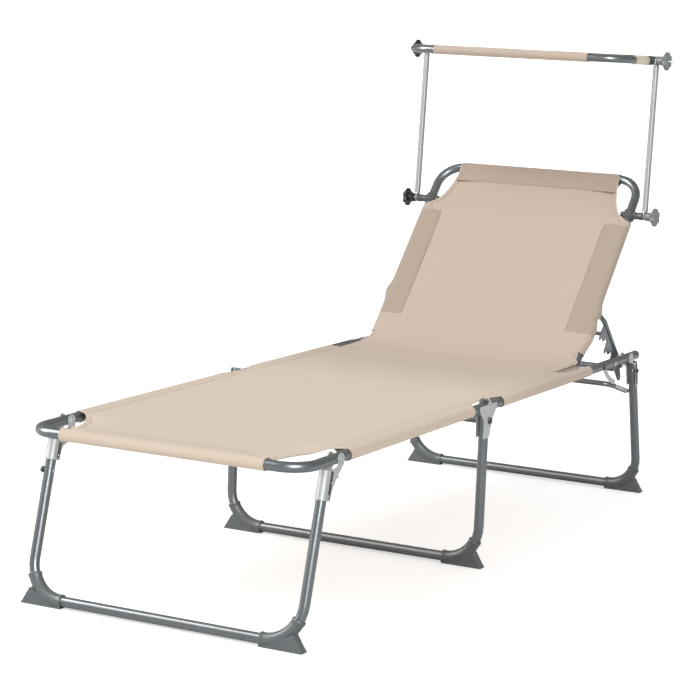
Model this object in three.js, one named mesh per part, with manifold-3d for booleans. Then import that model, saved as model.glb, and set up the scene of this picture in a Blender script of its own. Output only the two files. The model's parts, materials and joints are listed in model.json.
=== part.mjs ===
// Folding three-leg sun lounger with a reclining back and a small tilting canopy hoop.
// Millimetres, +Z up, head end towards +Y, the feet on z = 0.
// The finished group is moved so that its origin is the bottom centre of its bounding box.
import * as THREE from 'three';
import { mergeVertices } from 'three/addons/utils/BufferGeometryUtils.js';
import Module from 'manifold-3d';

const wasm = await Module();
wasm.setup();

// Facets and fits
const sides = 10; // facets round every tube and pin
const bendSteps = 4; // steps through a tube bend
const fit = 0.3; // gap between touching pieces
const overrun = 5; // how far a cutter passes the face that it opens
const fullTurn = 2 * Math.PI;

// Bed rails and foot section
const railX = 293; // rail centre from the middle
const railZ = 332; // rail centre height
const tubeRadius = 10;
const tubeWall = 1.2;
const foldY = -9; // hinge line of the foot section
const footBarY = -753; // centre line of the foot-end bar
const footBend = 52;
const railEndY = 792;
const capHead = 11; // length of the domed plug outside the rail
const capShank = 18;
const domeShares = [0.35, 0.7, 0.92, 1]; // heights on a dome as shares of its length

// Fold hinge above the rails
const knuckleRadius = 3;
const foldPinRadius = 1.4;
const foldAxisZ = railZ + tubeRadius + fit + knuckleRadius;
const knuckleStrap = 7; // length of the welded strap under a knuckle
const knuckleShare = 0.8; // corner of a knuckle outline as a share of its radius
const strapShare = 0.7; // depth of the strap into the tube as a share of the tube radius

// Cloth round the tubes
const sleeveRadius = 11.8;
const cornerCutX = 73; // half axes of the foot corner cut-outs
const cornerCutY = 163;
const hingeCutX = 25; // depth and half length of the cut-outs at the fold
const hingeCutY = 74;
const seatClothEnd = 8; // cloth stops this far before the back hinge

// Legs: height of the bar, bend, and the line of each leg from rail height to the floor
const legBarZ = 13;
const legBend = 72;
const legTopZ = railZ - tubeRadius - 6;
const frontLegTopY = -663.9;
const frontLegFootY = -752.8;
const middleLegTopY = -10.7;
const middleLegFootY = -17.5;
const rearLegTopY = 774.7;
const rearLegFootY = 846.8;

// Moulded feet
const footSleeve = 12.6; // outer radius of the sleeve
const footTopZ = 56; // top of the sleeve, part way round the bend
const footRun = 6; // straight sleeve inboard of the bend
const finTip = 13; // tip of the fin outside the leg line
const finHeight = 30;
const finHalf = 10; // half thickness of the fin
const finShare = 0.6; // where the top of the fin ends inside the tube, as a share of its radius

// Leg brackets: a channel round the leg top with two cheeks that straddle the rail
const sheet = 1.6;
const frontPivotY = -632;
const rearPivotY = 742;
const earRadius = 11.5;
const collarTopZ = 317;
const collarBottomZ = 264;
const webReach = 36; // how far the outer cheek runs down below the pivot
const earSteps = 6;
const earStart = -0.08 * Math.PI; // the round ear runs a little past a half turn
const earSweep = 1.16 * Math.PI;

// Middle brackets
const middlePivotY = -11.3;
const middlePivotZ = 305;
const wingFront = 42; // wings of the bracket along the rail
const wingRear = 33;
const wingTop = 6; // top of the wings above the rail centre
const stemHalf = 13;
const stemBottomZ = 270;

// Pins
const pinRadius = 4;
const pinHead = 6.5;
const headThickness = 2.4;
const spreaderRadius = 8;
const boltGrip = 20; // the middle bolts end this far inside the cheeks

// Fixed cross tube that the struts rest on
const catchY = 700;
const catchRadius = 7.5;
const catchEndX = 278; // the round tube ends here and is pressed flat
const tabLength = 10;
const tabThickness = 3;
const tabBite = 1; // overlap of a pressed end with the round tube
const catchZ = railZ - tubeRadius - fit - tabThickness - catchRadius + tabBite;
const rivetRadius = 3;
const rivetDome = 2.4;

// Rear leg toggle: links on the rails and a stay between the legs
const linkPivotY = 632;
const kneeY = 697.4;
const kneeZ = 281.6;
const linkHalf = 7.5;
const linkSheet = 2;
const linkPin = 3;
const stayX = 274;
const stayRadius = 6;
const stayWall = 1.2;
const stayPivotY = 793;
const stayPivotZ = 246;
const stayDrop = 7; // the cross bar hangs this far below the knee
const stayBend = 22;

// Backrest, laid flat along its own length u from the hinge
const backPivotY = 530;
const backAngle = THREE.MathUtils.degToRad(48.4);
const backX = 254;
const backLength = 524;
const backBend = 54;
const backTail = 11; // tube below the hinge
const backClothStart = 20;
const backCutX = 52;
const backCutU = 136;
const spacerRadius = 6.5;

// Support struts with notched plates
const strutU = 152; // strut hinge along the backrest
const strutAngle = THREE.MathUtils.degToRad(-47.3);
const strutX = 272;
const strutRadius = 5.9;
const strutWall = 1;
const strutLength = 188;
const strutHead = 9; // strut tube beyond its hinge
const plateHalf = 1.5;
const plateInner = 5; // near edge of the plate, inside the tube line
const plateOuter = 28; // far edge of the plate between its fingers
const notchPitch = 46.4;
const notchRadius = catchRadius + 0.6;
const fingerReaches = [35, 50, 41]; // tips of the three fingers from the strut line
const hingeToCatchY = catchY - backPivotY - strutU * Math.cos(backAngle);
const hingeToCatchZ = catchZ - railZ - strutU * Math.sin(backAngle);
const notchDepth = hingeToCatchY * Math.sin(strutAngle) - hingeToCatchZ * Math.cos(strutAngle);
const lastNotch = hingeToCatchY * Math.cos(strutAngle) + hingeToCatchZ * Math.sin(strutAngle);
const notchPlaces = [lastNotch - 2 * notchPitch, lastNotch - notchPitch, lastNotch];
const plateLead = 10.2; // plate before its first notch
const fingerGap = 13.6; // from a notch to the root of the next finger
const fingerRoots = [-plateLead, fingerGap, notchPitch + fingerGap].map((gap) => notchPlaces[0] + gap);
const fingerWidth = 21;
const eyePlace = 200;
const eyeDepth = 21;
const eyeRadius = 9;
const eyeHole = 4;
const tieRadius = 4.5;
const tiePlace = 50;
const tieDepth = 19;
const tieEnd = strutX + plateHalf;

// Canopy arms, clamps, hoop and star knobs
const clampBelow = 99; // clamp below the top tube of the backrest
const clampU = backLength - clampBelow;
const clampCollar = 13.6; // radius of the ring round the backrest tube
const clampHalf = 11;
const stubRadius = 8.5;
const armX = 292;
const armRadius = 6;
const armWall = 1;
const armLength = 355;
const armLean = THREE.MathUtils.degToRad(4.2); // rearward from upright
const tabHalf = 2;
const tabRadius = 8;
const tabReach = 24; // flattened end of an arm past its bolt
const hoopX = 272;
const hoopHalf = 155;
const hoopBend = 62;
const hoopRise = THREE.MathUtils.degToRad(-2.4);
const hoopRadius = 8.5;
const canopySleeve = 10.2;
const canopyCutX = 90;
const canopyCutY = 74;
const jointHalf = 13; // half length of the saddle on the hoop
const jointRadius = 10.6;
const boltRadius = 3;
const boltTip = 332;
const knobRadius = 21;
const knobLobe = 2.6;
const knobLobes = 6;
const lobeSteps = 6; // facets per lobe
const knobThickness = 12;
const knobHub = 10;
const knobHubLength = 16;
const washerGap = 1;

// Colours and finishes
const finishes = {
  tube: { color: 0x70767a, roughness: 0.38, metalness: 0.75 },
  zinc: { color: 0xdfe5e3, roughness: 0.35, metalness: 0.85 },
  arm: { color: 0xb9bfc1, roughness: 0.3, metalness: 0.9 },
  foot: { color: 0x5b6264, roughness: 0.6, metalness: 0 },
  joint: { color: 0x3d4245, roughness: 0.55, metalness: 0 },
  knob: { color: 0x6b7173, roughness: 0.5, metalness: 0 },
  darkKnob: { color: 0x1d1f20, roughness: 0.5, metalness: 0 },
  cloth: { color: 0xddccbb, roughness: 0.9, metalness: 0 },
  backCloth: { color: 0xd1beac, roughness: 0.9, metalness: 0 },
  bolt: { color: 0x9aa0a2, roughness: 0.35, metalness: 0.9 },
};

const lounger = new THREE.Group();
const backrest = new THREE.Group();
const strut = new THREE.Group();
const arms = new THREE.Group();
const hoop = new THREE.Group();
const point = (x, y, z) => new THREE.Vector3(x, y, z);
const shapeOf = (places) => new THREE.Shape(places.map(([a, b]) => new THREE.Vector2(a, b)));

// A bore round a tube or pin clears it by the fit, and a shank inside a bore clears the bore.
const hug = (radius) => (radius + fit) / Math.cos(Math.PI / sides);
const inside = (bore) => bore * Math.cos(Math.PI / sides) - fit;

// Closed solids: merged corners in, cut or joined solids out
function closedMesh(geometry) {
  const bare = geometry.clone();
  bare.deleteAttribute('normal');
  bare.deleteAttribute('uv');
  const merged = mergeVertices(bare);
  const corners = merged.index.array;
  const kept = [];
  for (let i = 0; i < corners.length; i += 3) {
    const [a, b, c] = [corners[i], corners[i + 1], corners[i + 2]];
    if (a !== b && b !== c && a !== c) kept.push(a, b, c);
  }
  merged.setIndex(kept);
  return merged;
}

function toSolid(geometry) {
  const mesh = closedMesh(geometry);
  const vertProperties = Float32Array.from(mesh.attributes.position.array);
  const triVerts = Uint32Array.from(mesh.index.array);
  return new wasm.Manifold(new wasm.Mesh({ numProp: 3, vertProperties, triVerts }));
}

function toGeometry(solid) {
  const mesh = solid.getMesh();
  const geometry = new THREE.BufferGeometry();
  geometry.setAttribute('position', new THREE.BufferAttribute(new Float32Array(mesh.vertProperties), 3));
  geometry.setIndex(new THREE.BufferAttribute(new Uint32Array(mesh.triVerts), 1));
  geometry.computeVertexNormals();
  return geometry;
}

function join(first, ...others) {
  return toGeometry(others.reduce((solid, other) => solid.add(toSolid(other)), toSolid(first)));
}

function cut(piece, ...tools) {
  return toGeometry(tools.reduce((solid, tool) => solid.subtract(toSolid(tool)), toSolid(piece)));
}

function trim(piece, keep) {
  return toGeometry(toSolid(piece).intersect(toSolid(keep)));
}

// Mirror across the middle plane, with the faces turned back to point outwards
function mirrored(geometry) {
  const flipped = closedMesh(geometry);
  flipped.scale(-1, 1, 1);
  const corners = flipped.index.array;
  for (let i = 0; i < corners.length; i += 3) {
    const kept = corners[i];
    corners[i] = corners[i + 1];
    corners[i + 1] = kept;
  }
  flipped.computeVertexNormals();
  return flipped;
}

function addPiece(name, geometry, finish, group = lounger) {
  const piece = new THREE.Mesh(geometry, new THREE.MeshStandardMaterial(finishes[finish]));
  piece.name = name;
  group.add(piece);
}

function addPair(name, geometry, finish, group = lounger, leftFinish = finish) {
  addPiece(`${name}_right`, geometry, finish, group);
  addPiece(`${name}_left`, mirrored(geometry), leftFinish, group);
}

// A tube path: straight runs joined by round bends, with stations only where the shape needs them
class BentPath extends THREE.Curve {
  constructor(stations) {
    super();
    this.stations = stations;
    this.steps = stations.length - 1;
  }
  station(t) {
    return this.stations[Math.round(t * this.steps)];
  }
  getPoint(t) {
    return this.station(t).place.clone();
  }
  getPointAt(t) {
    return this.getPoint(t);
  }
  getTangentAt(t) {
    return this.station(t).along.clone();
  }
}

function bendStations(before, corner, after, bendRadius) {
  const into = corner.clone().sub(before).normalize();
  const out = after.clone().sub(corner).normalize();
  const turn = into.angleTo(out);
  const axis = into.clone().cross(out).normalize();
  const inward = axis.clone().cross(into);
  const start = corner.clone().addScaledVector(into, -bendRadius * Math.tan(turn / 2));
  const centre = start.clone().addScaledVector(inward, bendRadius);
  return Array.from({ length: bendSteps + 1 }, (_, k) => {
    const angle = (turn * k) / bendSteps;
    const arm = inward.clone().applyAxisAngle(axis, angle);
    const place = centre.clone().addScaledVector(arm, -bendRadius);
    return { place, along: into.clone().applyAxisAngle(axis, angle) };
  });
}

function bentPath(corners, bendRadius) {
  const last = corners.length - 1;
  const heading = (i) => corners[i + 1].clone().sub(corners[i]).normalize();
  const stations = corners.flatMap((corner, i) => {
    if (i === 0) return [{ place: corner, along: heading(0) }];
    if (i === last) return [{ place: corner, along: heading(last - 1) }];
    return bendStations(corners[i - 1], corner, corners[i + 1], bendRadius);
  });
  return new BentPath(stations);
}

function disc(radius, bore = 0) {
  const shape = new THREE.Shape().absarc(0, 0, radius, 0, fullTurn);
  if (bore > 0) shape.holes.push(new THREE.Path().absarc(0, 0, bore, 0, fullTurn, true));
  return shape;
}

function sweep(path, radius, bore = 0) {
  const settings = { steps: path.steps, extrudePath: path, curveSegments: sides / 2 };
  return new THREE.ExtrudeGeometry(disc(radius, bore), settings);
}

const rod = (from, to, radius, bore = 0) => sweep(bentPath([from, to], 0), radius, bore);
const rodX = (x0, x1, y, z, radius, bore = 0) => rod(point(x0, y, z), point(x1, y, z), radius, bore);
const rodY = (y0, y1, x, z, radius, bore = 0) => rod(point(x, y0, z), point(x, y1, z), radius, bore);
const rodZ = (z0, z1, x, y, radius, bore = 0) => rod(point(x, y, z0), point(x, y, z1), radius, bore);

function extruded(shape, depth, curveSegments) {
  return new THREE.ExtrudeGeometry(shape, { depth, bevelEnabled: false, curveSegments });
}

// A flat outline in the (y, z) plane, as thick as x0 to x1
function plate(shape, x0, x1) {
  const flat = extruded(shape, x1 - x0, sides / 2);
  flat.applyMatrix4(new THREE.Matrix4().makeBasis(point(0, 1, 0), point(0, 0, 1), point(1, 0, 0)));
  return flat.translate(x0, 0, 0);
}

// A flat outline in the (x, z) plane, from y0 to y1
function slab(shape, y0, y1) {
  const flat = extruded(shape, y1 - y0, sides / 2);
  flat.applyMatrix4(new THREE.Matrix4().makeBasis(point(1, 0, 0), point(0, 0, 1), point(0, -1, 0)));
  return flat.translate(0, y1, 0);
}

// A flat outline in the (x, y) plane, from z0 to z1
function layer(shape, z0, z1) {
  return extruded(shape, z1 - z0, sides).translate(0, 0, z0);
}

// A turned piece along x: pairs of radius and x, from the axis to the axis, in rising x
function turned(profile, y, z) {
  const points = profile.map(([radius, x]) => new THREE.Vector2(radius, -x));
  const lathe = new THREE.LatheGeometry(points.reverse(), sides);
  return lathe.rotateZ(Math.PI / 2).translate(0, y, z);
}

function headedPin(x0, x1, radius, head, y, z) {
  const profile = [
    [0, x0 - headThickness], [head, x0 - headThickness], [head, x0], [radius, x0],
    [radius, x1], [head, x1], [head, x1 + headThickness], [0, x1 + headThickness],
  ];
  return turned(profile, y, z);
}

// Bolt with a plain inner end and a domed head outside
function domedBolt(x0, x1, radius, head, y, z) {
  const face = x1 + headThickness;
  const profile = [
    [0, x0], [radius, x0], [radius, x1], [head, x1],
    [head, face - headThickness / 2], [head - headThickness / 2, face], [0, face],
  ];
  return turned(profile, y, z);
}

// Cutters along x for a pin: one hole, or the same hole on both sides
const drill = (x0, x1, radius, y, z) => rodX(x0, x1, y, z, hug(radius));
const drillBoth = (x0, x1, radius, y, z) => [drill(x0, x1, radius, y, z), drill(-x1, -x0, radius, y, z)];

function ellipseShape(x, y, halfX, halfY) {
  return new THREE.Shape().absellipse(x, y, halfX, halfY, 0, fullTurn);
}

// Bed rails with holes for the hinge pins, link pins and cross tube rivets
const railOuter = railX + tubeRadius;
const railInner = railX - tubeRadius;

function seatRail() {
  const start = point(railX, foldY + fit / 2, railZ);
  const tube = rod(start, point(railX, railEndY, railZ), tubeRadius, tubeRadius - tubeWall);
  const rivet = rodZ(railZ - 2 * tubeRadius, railZ + 2 * tubeRadius, railX, catchY, hug(rivetRadius));
  return cut(
    tube,
    rivet,
    drill(railInner - overrun, railX, pinRadius, backPivotY, railZ),
    drill(railInner - overrun, railX, linkPin, linkPivotY, railZ),
    drill(railInner - overrun, railOuter + overrun, pinRadius, rearPivotY, railZ),
  );
}

function railCap() {
  const shank = inside(tubeRadius - tubeWall);
  const face = railEndY + fit;
  const dome = domeShares.map((share) => {
    return [tubeRadius * Math.sqrt(1 - share * share), face + capHead * share];
  });
  const profile = [
    [0, face - capShank], [shank, face - capShank], [shank, face], [tubeRadius, face], ...dome,
  ];
  const points = profile.map(([radius, y]) => new THREE.Vector2(radius, y));
  return new THREE.LatheGeometry(points, sides).translate(railX, 0, railZ);
}

// Cross tube under the rails: round in the middle, pressed flat and riveted at each end
function catchTube() {
  const tabTop = railZ - tubeRadius - fit;
  const rivetFoot = railZ + tubeRadius + fit;
  const tube = rodX(-catchEndX, catchEndX, catchY, catchZ, catchRadius, catchRadius - tubeWall);
  const ends = [-1, 1].flatMap((side) => {
    const outline = shapeOf([
      [side * (catchEndX - fit), catchZ - catchRadius], [side * (catchEndX + fit), catchZ - catchRadius],
      [side * (catchEndX + tabLength), tabTop - tabThickness],
      [side * (railX + catchRadius), tabTop - tabThickness],
      [side * (railX + catchRadius), tabTop], [side * (catchEndX - fit), tabTop],
    ]);
    const tab = slab(outline, catchY - catchRadius, catchY + catchRadius);
    const stud = rodZ(tabTop - tabThickness / 2, rivetFoot + rivetDome, side * railX, catchY, rivetRadius);
    const head = rodZ(rivetFoot, rivetFoot + rivetDome, side * railX, catchY, 2 * rivetRadius);
    return [tab, stud, head];
  });
  const drains = [-1, 1].map((side) => {
    const x = side * (catchEndX - tabLength);
    return rodZ(catchZ - 2 * catchRadius, catchZ, x, catchY, rivetRadius / 2);
  });
  return cut(join(tube, ...ends), ...drains);
}

// Foot section frame: a U of tube with a welded half knuckle on each end
function footFrame() {
  const end = foldY - fit / 2;
  const corners = [
    point(-railX, end, railZ), point(-railX, footBarY, railZ),
    point(railX, footBarY, railZ), point(railX, end, railZ),
  ];
  const tube = sweep(bentPath(corners, footBend), tubeRadius, tubeRadius - tubeWall);
  const knuckles = [-1, 1].flatMap((side) => {
    const near = side * (railInner + 2 * fit);
    const far = side * (railX - fit);
    const [x0, x1] = [Math.min(near, far), Math.max(near, far)];
    const knuckle = rodX(x0, x1, foldY, foldAxisZ, knuckleRadius);
    const strap = shapeOf([
      [end - knuckleStrap, railZ + tubeRadius * strapShare], [end, railZ + tubeRadius * strapShare],
      [end, foldAxisZ], [end - knuckleRadius, foldAxisZ + knuckleRadius / 2],
    ]);
    return [knuckle, plate(strap, x0 + (side > 0 ? 2 * fit : 0), x1 - (side > 0 ? 0 : 2 * fit))];
  });
  const whole = join(tube, ...knuckles);
  const pinHoles = [
    drill(-railOuter, -railInner + overrun, foldPinRadius, foldY, foldAxisZ),
    drill(railInner - overrun, railOuter, foldPinRadius, foldY, foldAxisZ),
  ];
  return cut(whole, ...pinHoles, ...pivotHoles(frontPivotY, railZ));
}

// Middle bracket: a T-shaped outer cheek, a floor under the rails and a plain inner cheek
const cheekOuter = railOuter + fit;
const cheekInner = railInner - fit;
const boltFace = cheekOuter + sheet + fit; // just outside the outer cheeks
const pinFace = cheekInner - sheet - fit; // just inside the inner cheeks

function middleBracket() {
  const floorTop = railZ - tubeRadius - fit;
  const front = middlePivotY - wingFront;
  const rear = middlePivotY + wingRear;
  const outerShape = shapeOf([
    [middlePivotY - stemHalf - overrun, stemBottomZ], [middlePivotY + stemHalf / 2, stemBottomZ],
    [middlePivotY + stemHalf, middlePivotZ - stemHalf], [middlePivotY + stemHalf, middlePivotZ],
    [rear - stemHalf / 2, floorTop], [rear, railZ - wingTop / 2],
    [rear, railZ + wingTop], [foldY + knuckleRadius, railZ + wingTop],
    [foldY + knuckleRadius, foldAxisZ],
    [foldY + knuckleRadius / 2, foldAxisZ + knuckleRadius * knuckleShare],
    [foldY - knuckleRadius / 2, foldAxisZ + knuckleRadius * knuckleShare],
    [foldY - knuckleRadius, foldAxisZ],
    [foldY - knuckleRadius, railZ + wingTop], [front, railZ + wingTop],
    [front, railZ - wingTop], [middlePivotY - stemHalf - overrun, middlePivotZ],
  ]);
  const innerShape = shapeOf([
    [middlePivotY - stemHalf, stemBottomZ], [middlePivotY + stemHalf, stemBottomZ],
    [middlePivotY + stemHalf, floorTop], [middlePivotY - stemHalf, floorTop],
  ]);
  const floorShape = shapeOf([
    [front + stemHalf, floorTop - sheet], [rear - stemHalf / 2, floorTop - sheet],
    [rear - stemHalf / 2, floorTop], [front + stemHalf, floorTop],
  ]);
  const whole = join(
    plate(outerShape, cheekOuter, cheekOuter + sheet),
    plate(floorShape, cheekInner - sheet, cheekOuter + fit),
    plate(innerShape, cheekInner - sheet, cheekInner),
    rodX(railX + fit, cheekOuter + sheet, foldY, foldAxisZ, knuckleRadius),
  );
  return cut(
    whole,
    drill(cheekInner - overrun, cheekOuter + overrun, pinRadius, middlePivotY, middlePivotZ),
    drill(railX - overrun, cheekOuter + overrun, foldPinRadius, foldY, foldAxisZ),
  );
}

// Cloth: a sheet level with the tube tops, with a sleeve round each side tube
function clothSection(halfWidth, z) {
  const seam = Math.acos(hug(tubeRadius) / sleeveRadius);
  const under = z + hug(tubeRadius);
  const shape = new THREE.Shape();
  shape.moveTo(-halfWidth, z + sleeveRadius);
  shape.lineTo(halfWidth, z + sleeveRadius);
  shape.absarc(halfWidth, z, sleeveRadius, Math.PI / 2, Math.PI / 2 + seam - fullTurn, true);
  shape.lineTo(-halfWidth + sleeveRadius * Math.sin(seam), under);
  shape.absarc(-halfWidth, z, sleeveRadius, Math.PI / 2 - seam, Math.PI / 2 - fullTurn, true);
  [-halfWidth, halfWidth].forEach((x) => {
    shape.holes.push(new THREE.Path().absarc(x, z, hug(tubeRadius), 0, fullTurn));
  });
  return shape;
}

function cornerCuts(halfWidth, y, halfX, halfY, z) {
  const [low, high] = [z - 2 * sleeveRadius, z + 2 * sleeveRadius];
  return [-1, 1].map((side) => layer(ellipseShape(side * halfWidth, y, halfX, halfY), low, high));
}

function footCloth() {
  const body = slab(clothSection(railX, railZ), footBarY, foldY - fit / 2);
  const bar = rodX(-railX, railX, footBarY, railZ, sleeveRadius);
  const bore = rodX(-railX, railX, footBarY, railZ, hug(tubeRadius));
  const outside = railX + sleeveRadius;
  const hingeCuts = cornerCuts(outside, foldY, sleeveRadius + hingeCutX, hingeCutY, railZ);
  const footCuts = cornerCuts(outside, footBarY, sleeveRadius + cornerCutX, cornerCutY, railZ);
  return cut(join(body, bar), bore, ...footCuts, ...hingeCuts);
}

function seatCloth() {
  const body = slab(clothSection(railX, railZ), foldY + fit / 2, backPivotY - seatClothEnd);
  return cut(body, ...cornerCuts(railX + sleeveRadius, foldY, sleeveRadius + hingeCutX, hingeCutY, railZ));
}

// Legs: where the leg line is at a height
const frontLegY = (z) => frontLegFootY + ((frontLegTopY - frontLegFootY) * z) / railZ;
const middleLegY = (z) => middleLegFootY + ((middleLegTopY - middleLegFootY) * z) / railZ;
const rearLegY = (z) => rearLegFootY + ((rearLegTopY - rearLegFootY) * z) / railZ;

function legTube(legY, topZ, holes) {
  const top = legY(topZ);
  const foot = legY(legBarZ);
  const corners = [
    point(-railX, top, topZ), point(-railX, foot, legBarZ),
    point(railX, foot, legBarZ), point(railX, top, topZ),
  ];
  return cut(sweep(bentPath(corners, legBend), tubeRadius, tubeRadius - tubeWall), ...holes);
}

function middleLeg() {
  return legTube(middleLegY, middlePivotZ + tubeRadius, pivotHoles(middlePivotY, middlePivotZ));
}

function middleBolt() {
  const start = cheekInner - boltGrip;
  return domedBolt(start, boltFace, pinRadius, pinHead, middlePivotY, middlePivotZ);
}

function middleSpreader() {
  return rodX(-pinFace, pinFace, middlePivotY, middlePivotZ, spreaderRadius, hug(pinRadius));
}

// Foot: a sleeve round the bend with a triangular fin under it, cut flat on the floor
function legFoot(legY) {
  const corner = point(railX, legY(legBarZ), legBarZ);
  const up = point(railX, legY(railZ), railZ).sub(corner).normalize();
  const upper = corner.clone().addScaledVector(up, legBend + overrun);
  const inner = point(railX - legBend - footRun, corner.y, legBarZ);
  const outline = shapeOf([
    [inner.x, -overrun], [railX + finTip, -overrun], [railX + finTip, 0],
    [railX - tubeRadius * finShare, finHeight], [railX - legBend / 2, finHeight], [inner.x, legBarZ],
  ]);
  const fin = slab(outline, corner.y - finHalf, corner.y + finHalf);
  const whole = join(sweep(bentPath([upper, corner, inner], legBend), footSleeve), fin);
  const past = corner.clone().addScaledVector(up, legBend + 2 * overrun);
  const beyond = inner.clone().setX(inner.x - overrun);
  const bore = sweep(bentPath([past, corner, beyond], legBend), hug(tubeRadius));
  const keep = new THREE.BoxGeometry(2 * legBend, 2 * legBend, footTopZ);
  keep.translate(railX - legBend / 2, corner.y, footTopZ / 2);
  return cut(trim(whole, keep), bore);
}

// Channel round the top of a leg, open on the side that its web leaves
function bracketChannel(legY, dir) {
  const channel = new THREE.Shape();
  const outer = tubeRadius + fit + sheet;
  const inner = tubeRadius + fit;
  const depth = tubeRadius + fit;
  channel.absarc(0, 0, outer, 0, Math.PI, false);
  channel.lineTo(-outer, -depth);
  channel.lineTo(-inner, -depth);
  channel.absarc(0, 0, inner / Math.cos(Math.PI / sides / 2), Math.PI, 0, true);
  channel.lineTo(inner, -depth);
  channel.lineTo(outer, -depth);
  const low = point(railX, legY(collarBottomZ), collarBottomZ);
  const high = point(railX, legY(collarTopZ), collarTopZ);
  const up = high.clone().sub(low).normalize();
  const across = point(-dir, 0, 0);
  const collar = extruded(channel, high.distanceTo(low), sides / 2);
  collar.applyMatrix4(new THREE.Matrix4().makeBasis(across, up.clone().cross(across), up));
  return collar.translate(low.x, low.y, low.z);
}

// Leg bracket: dir is +1 where the web runs towards the head end from the leg, else -1
function legBracket(legY, pivotY, dir) {
  const depth = tubeRadius + fit;
  const edge = (z, away) => [legY(z) + dir * away, z];
  const ear = Array.from({ length: earSteps + 1 }, (_, k) => {
    const angle = earStart + (earSweep * k) / earSteps;
    return [pivotY + dir * earRadius * Math.cos(angle), railZ + earRadius * Math.sin(angle)];
  });
  const web = [
    ...ear, edge(collarTopZ, 0), edge(collarBottomZ, 0), edge(collarBottomZ, depth),
    edge(collarBottomZ + 2 * sheet, depth + sheet), [pivotY - dir * 2 * sheet, railZ - webReach],
  ];
  const strapLow = collarTopZ - tubeRadius;
  const strap = [...ear, edge(collarTopZ, 0), edge(strapLow, 0), edge(strapLow, depth)];
  const whole = join(
    bracketChannel(legY, dir),
    plate(shapeOf(web), cheekOuter, cheekOuter + sheet),
    plate(shapeOf(strap), cheekInner - sheet, cheekInner),
  );
  return cut(whole, drill(cheekInner - overrun, cheekOuter + overrun, pinRadius, pivotY, railZ));
}

// Link of the rear leg toggle, with its rivet into the rail
function stayLink() {
  const x1 = cheekInner;
  const slope = Math.atan2(kneeZ - railZ, kneeY - linkPivotY);
  const outline = new THREE.Shape();
  outline.absarc(linkPivotY, railZ, linkHalf, slope + Math.PI / 2, slope + (3 * Math.PI) / 2, false);
  outline.absarc(kneeY, kneeZ, linkHalf, slope - Math.PI / 2, slope + Math.PI / 2, false);
  const rivet = rodX(x1 - linkSheet / 2, railInner + 2 * tubeWall, linkPivotY, railZ, linkPin);
  return join(plate(outline, x1 - linkSheet, x1), rivet);
}

// Stay between the rear legs: a U of thin tube with a pin into each leg
function rearStay() {
  const corners = [
    point(-stayX, stayPivotY, stayPivotZ), point(-stayX, kneeY, kneeZ - stayDrop),
    point(stayX, kneeY, kneeZ - stayDrop), point(stayX, stayPivotY, stayPivotZ),
  ];
  const tube = sweep(bentPath(corners, stayBend), stayRadius, stayRadius - stayWall);
  const along = corners[3].clone().sub(corners[2]).normalize();
  const pins = [-1, 1].map((side) => {
    const start = point(side * (stayX - stayRadius / 2), stayPivotY, stayPivotZ);
    start.addScaledVector(along, -2 * linkPin);
    return rod(start, start.clone().setX(side * (railInner + 2 * tubeWall)), linkPin);
  });
  return join(tube, ...pins);
}

function stayHoles() {
  const along = point(0, stayPivotY - kneeY, stayPivotZ - kneeZ + stayDrop).normalize();
  const place = point(0, stayPivotY, stayPivotZ).addScaledVector(along, -2 * linkPin);
  return drillBoth(railInner - overrun, railX, linkPin, place.y, place.z);
}

const pivotHoles = (y, z) => drillBoth(railInner - overrun, railOuter + overrun, pinRadius, y, z);

// Backrest pieces in the flat frame of the backrest: hinge at the origin, u along +Y
function backFrame() {
  const corners = [
    point(-backX, -backTail, 0), point(-backX, backLength, 0),
    point(backX, backLength, 0), point(backX, -backTail, 0),
  ];
  const tube = sweep(bentPath(corners, backBend), tubeRadius, tubeRadius - tubeWall);
  const [x0, x1] = [backX - tubeRadius - overrun, backX + tubeRadius + overrun];
  return cut(tube, ...drillBoth(x0, x1, pinRadius, 0, 0), ...drillBoth(x0, x1, pinRadius, strutU, 0));
}

function backCloth() {
  const body = slab(clothSection(backX, 0), backClothStart, backLength);
  const bar = rodX(-backX, backX, backLength, 0, sleeveRadius);
  const bore = rodX(-backX, backX, backLength, 0, hug(tubeRadius));
  const [x0, x1] = [backX - tubeRadius - overrun, backX + 2 * tubeRadius];
  const holes = drillBoth(x0, x1, spacerRadius + fit, strutU, 0);
  const [outside, end] = [backX + sleeveRadius, backLength + sleeveRadius];
  const corners = cornerCuts(outside, end, sleeveRadius + backCutX, backCutU, 0);
  return cut(join(body, bar), bore, ...corners, ...holes);
}

// Hinge pin of the backrest: head inside the back tube, a spacer, and its end in the rail
function backPin() {
  const head = backX - tubeRadius - fit;
  const near = backX + tubeRadius + fit;
  const far = railInner - fit;
  const profile = [
    [0, head - headThickness], [pinHead, head - headThickness], [pinHead, head], [pinRadius, head],
    [pinRadius, near], [spacerRadius, near], [spacerRadius, far], [pinRadius, far],
    [pinRadius, railInner + 2 * tubeWall], [0, railInner + 2 * tubeWall],
  ];
  return turned(profile, 0, 0);
}

function strutPin() {
  const head = backX - tubeRadius - fit;
  const near = backX + tubeRadius + fit;
  const far = strutX - strutRadius - fit;
  const end = strutX + strutRadius + fit;
  const profile = [
    [0, head - headThickness], [pinHead, head - headThickness], [pinHead, head], [pinRadius, head],
    [pinRadius, near], [spacerRadius, near], [spacerRadius, far], [pinRadius, far],
    [pinRadius, end], [pinHead, end], [pinHead, end + headThickness / 2], [0, end + headThickness / 2],
  ];
  return turned(profile, strutU, 0);
}

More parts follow.
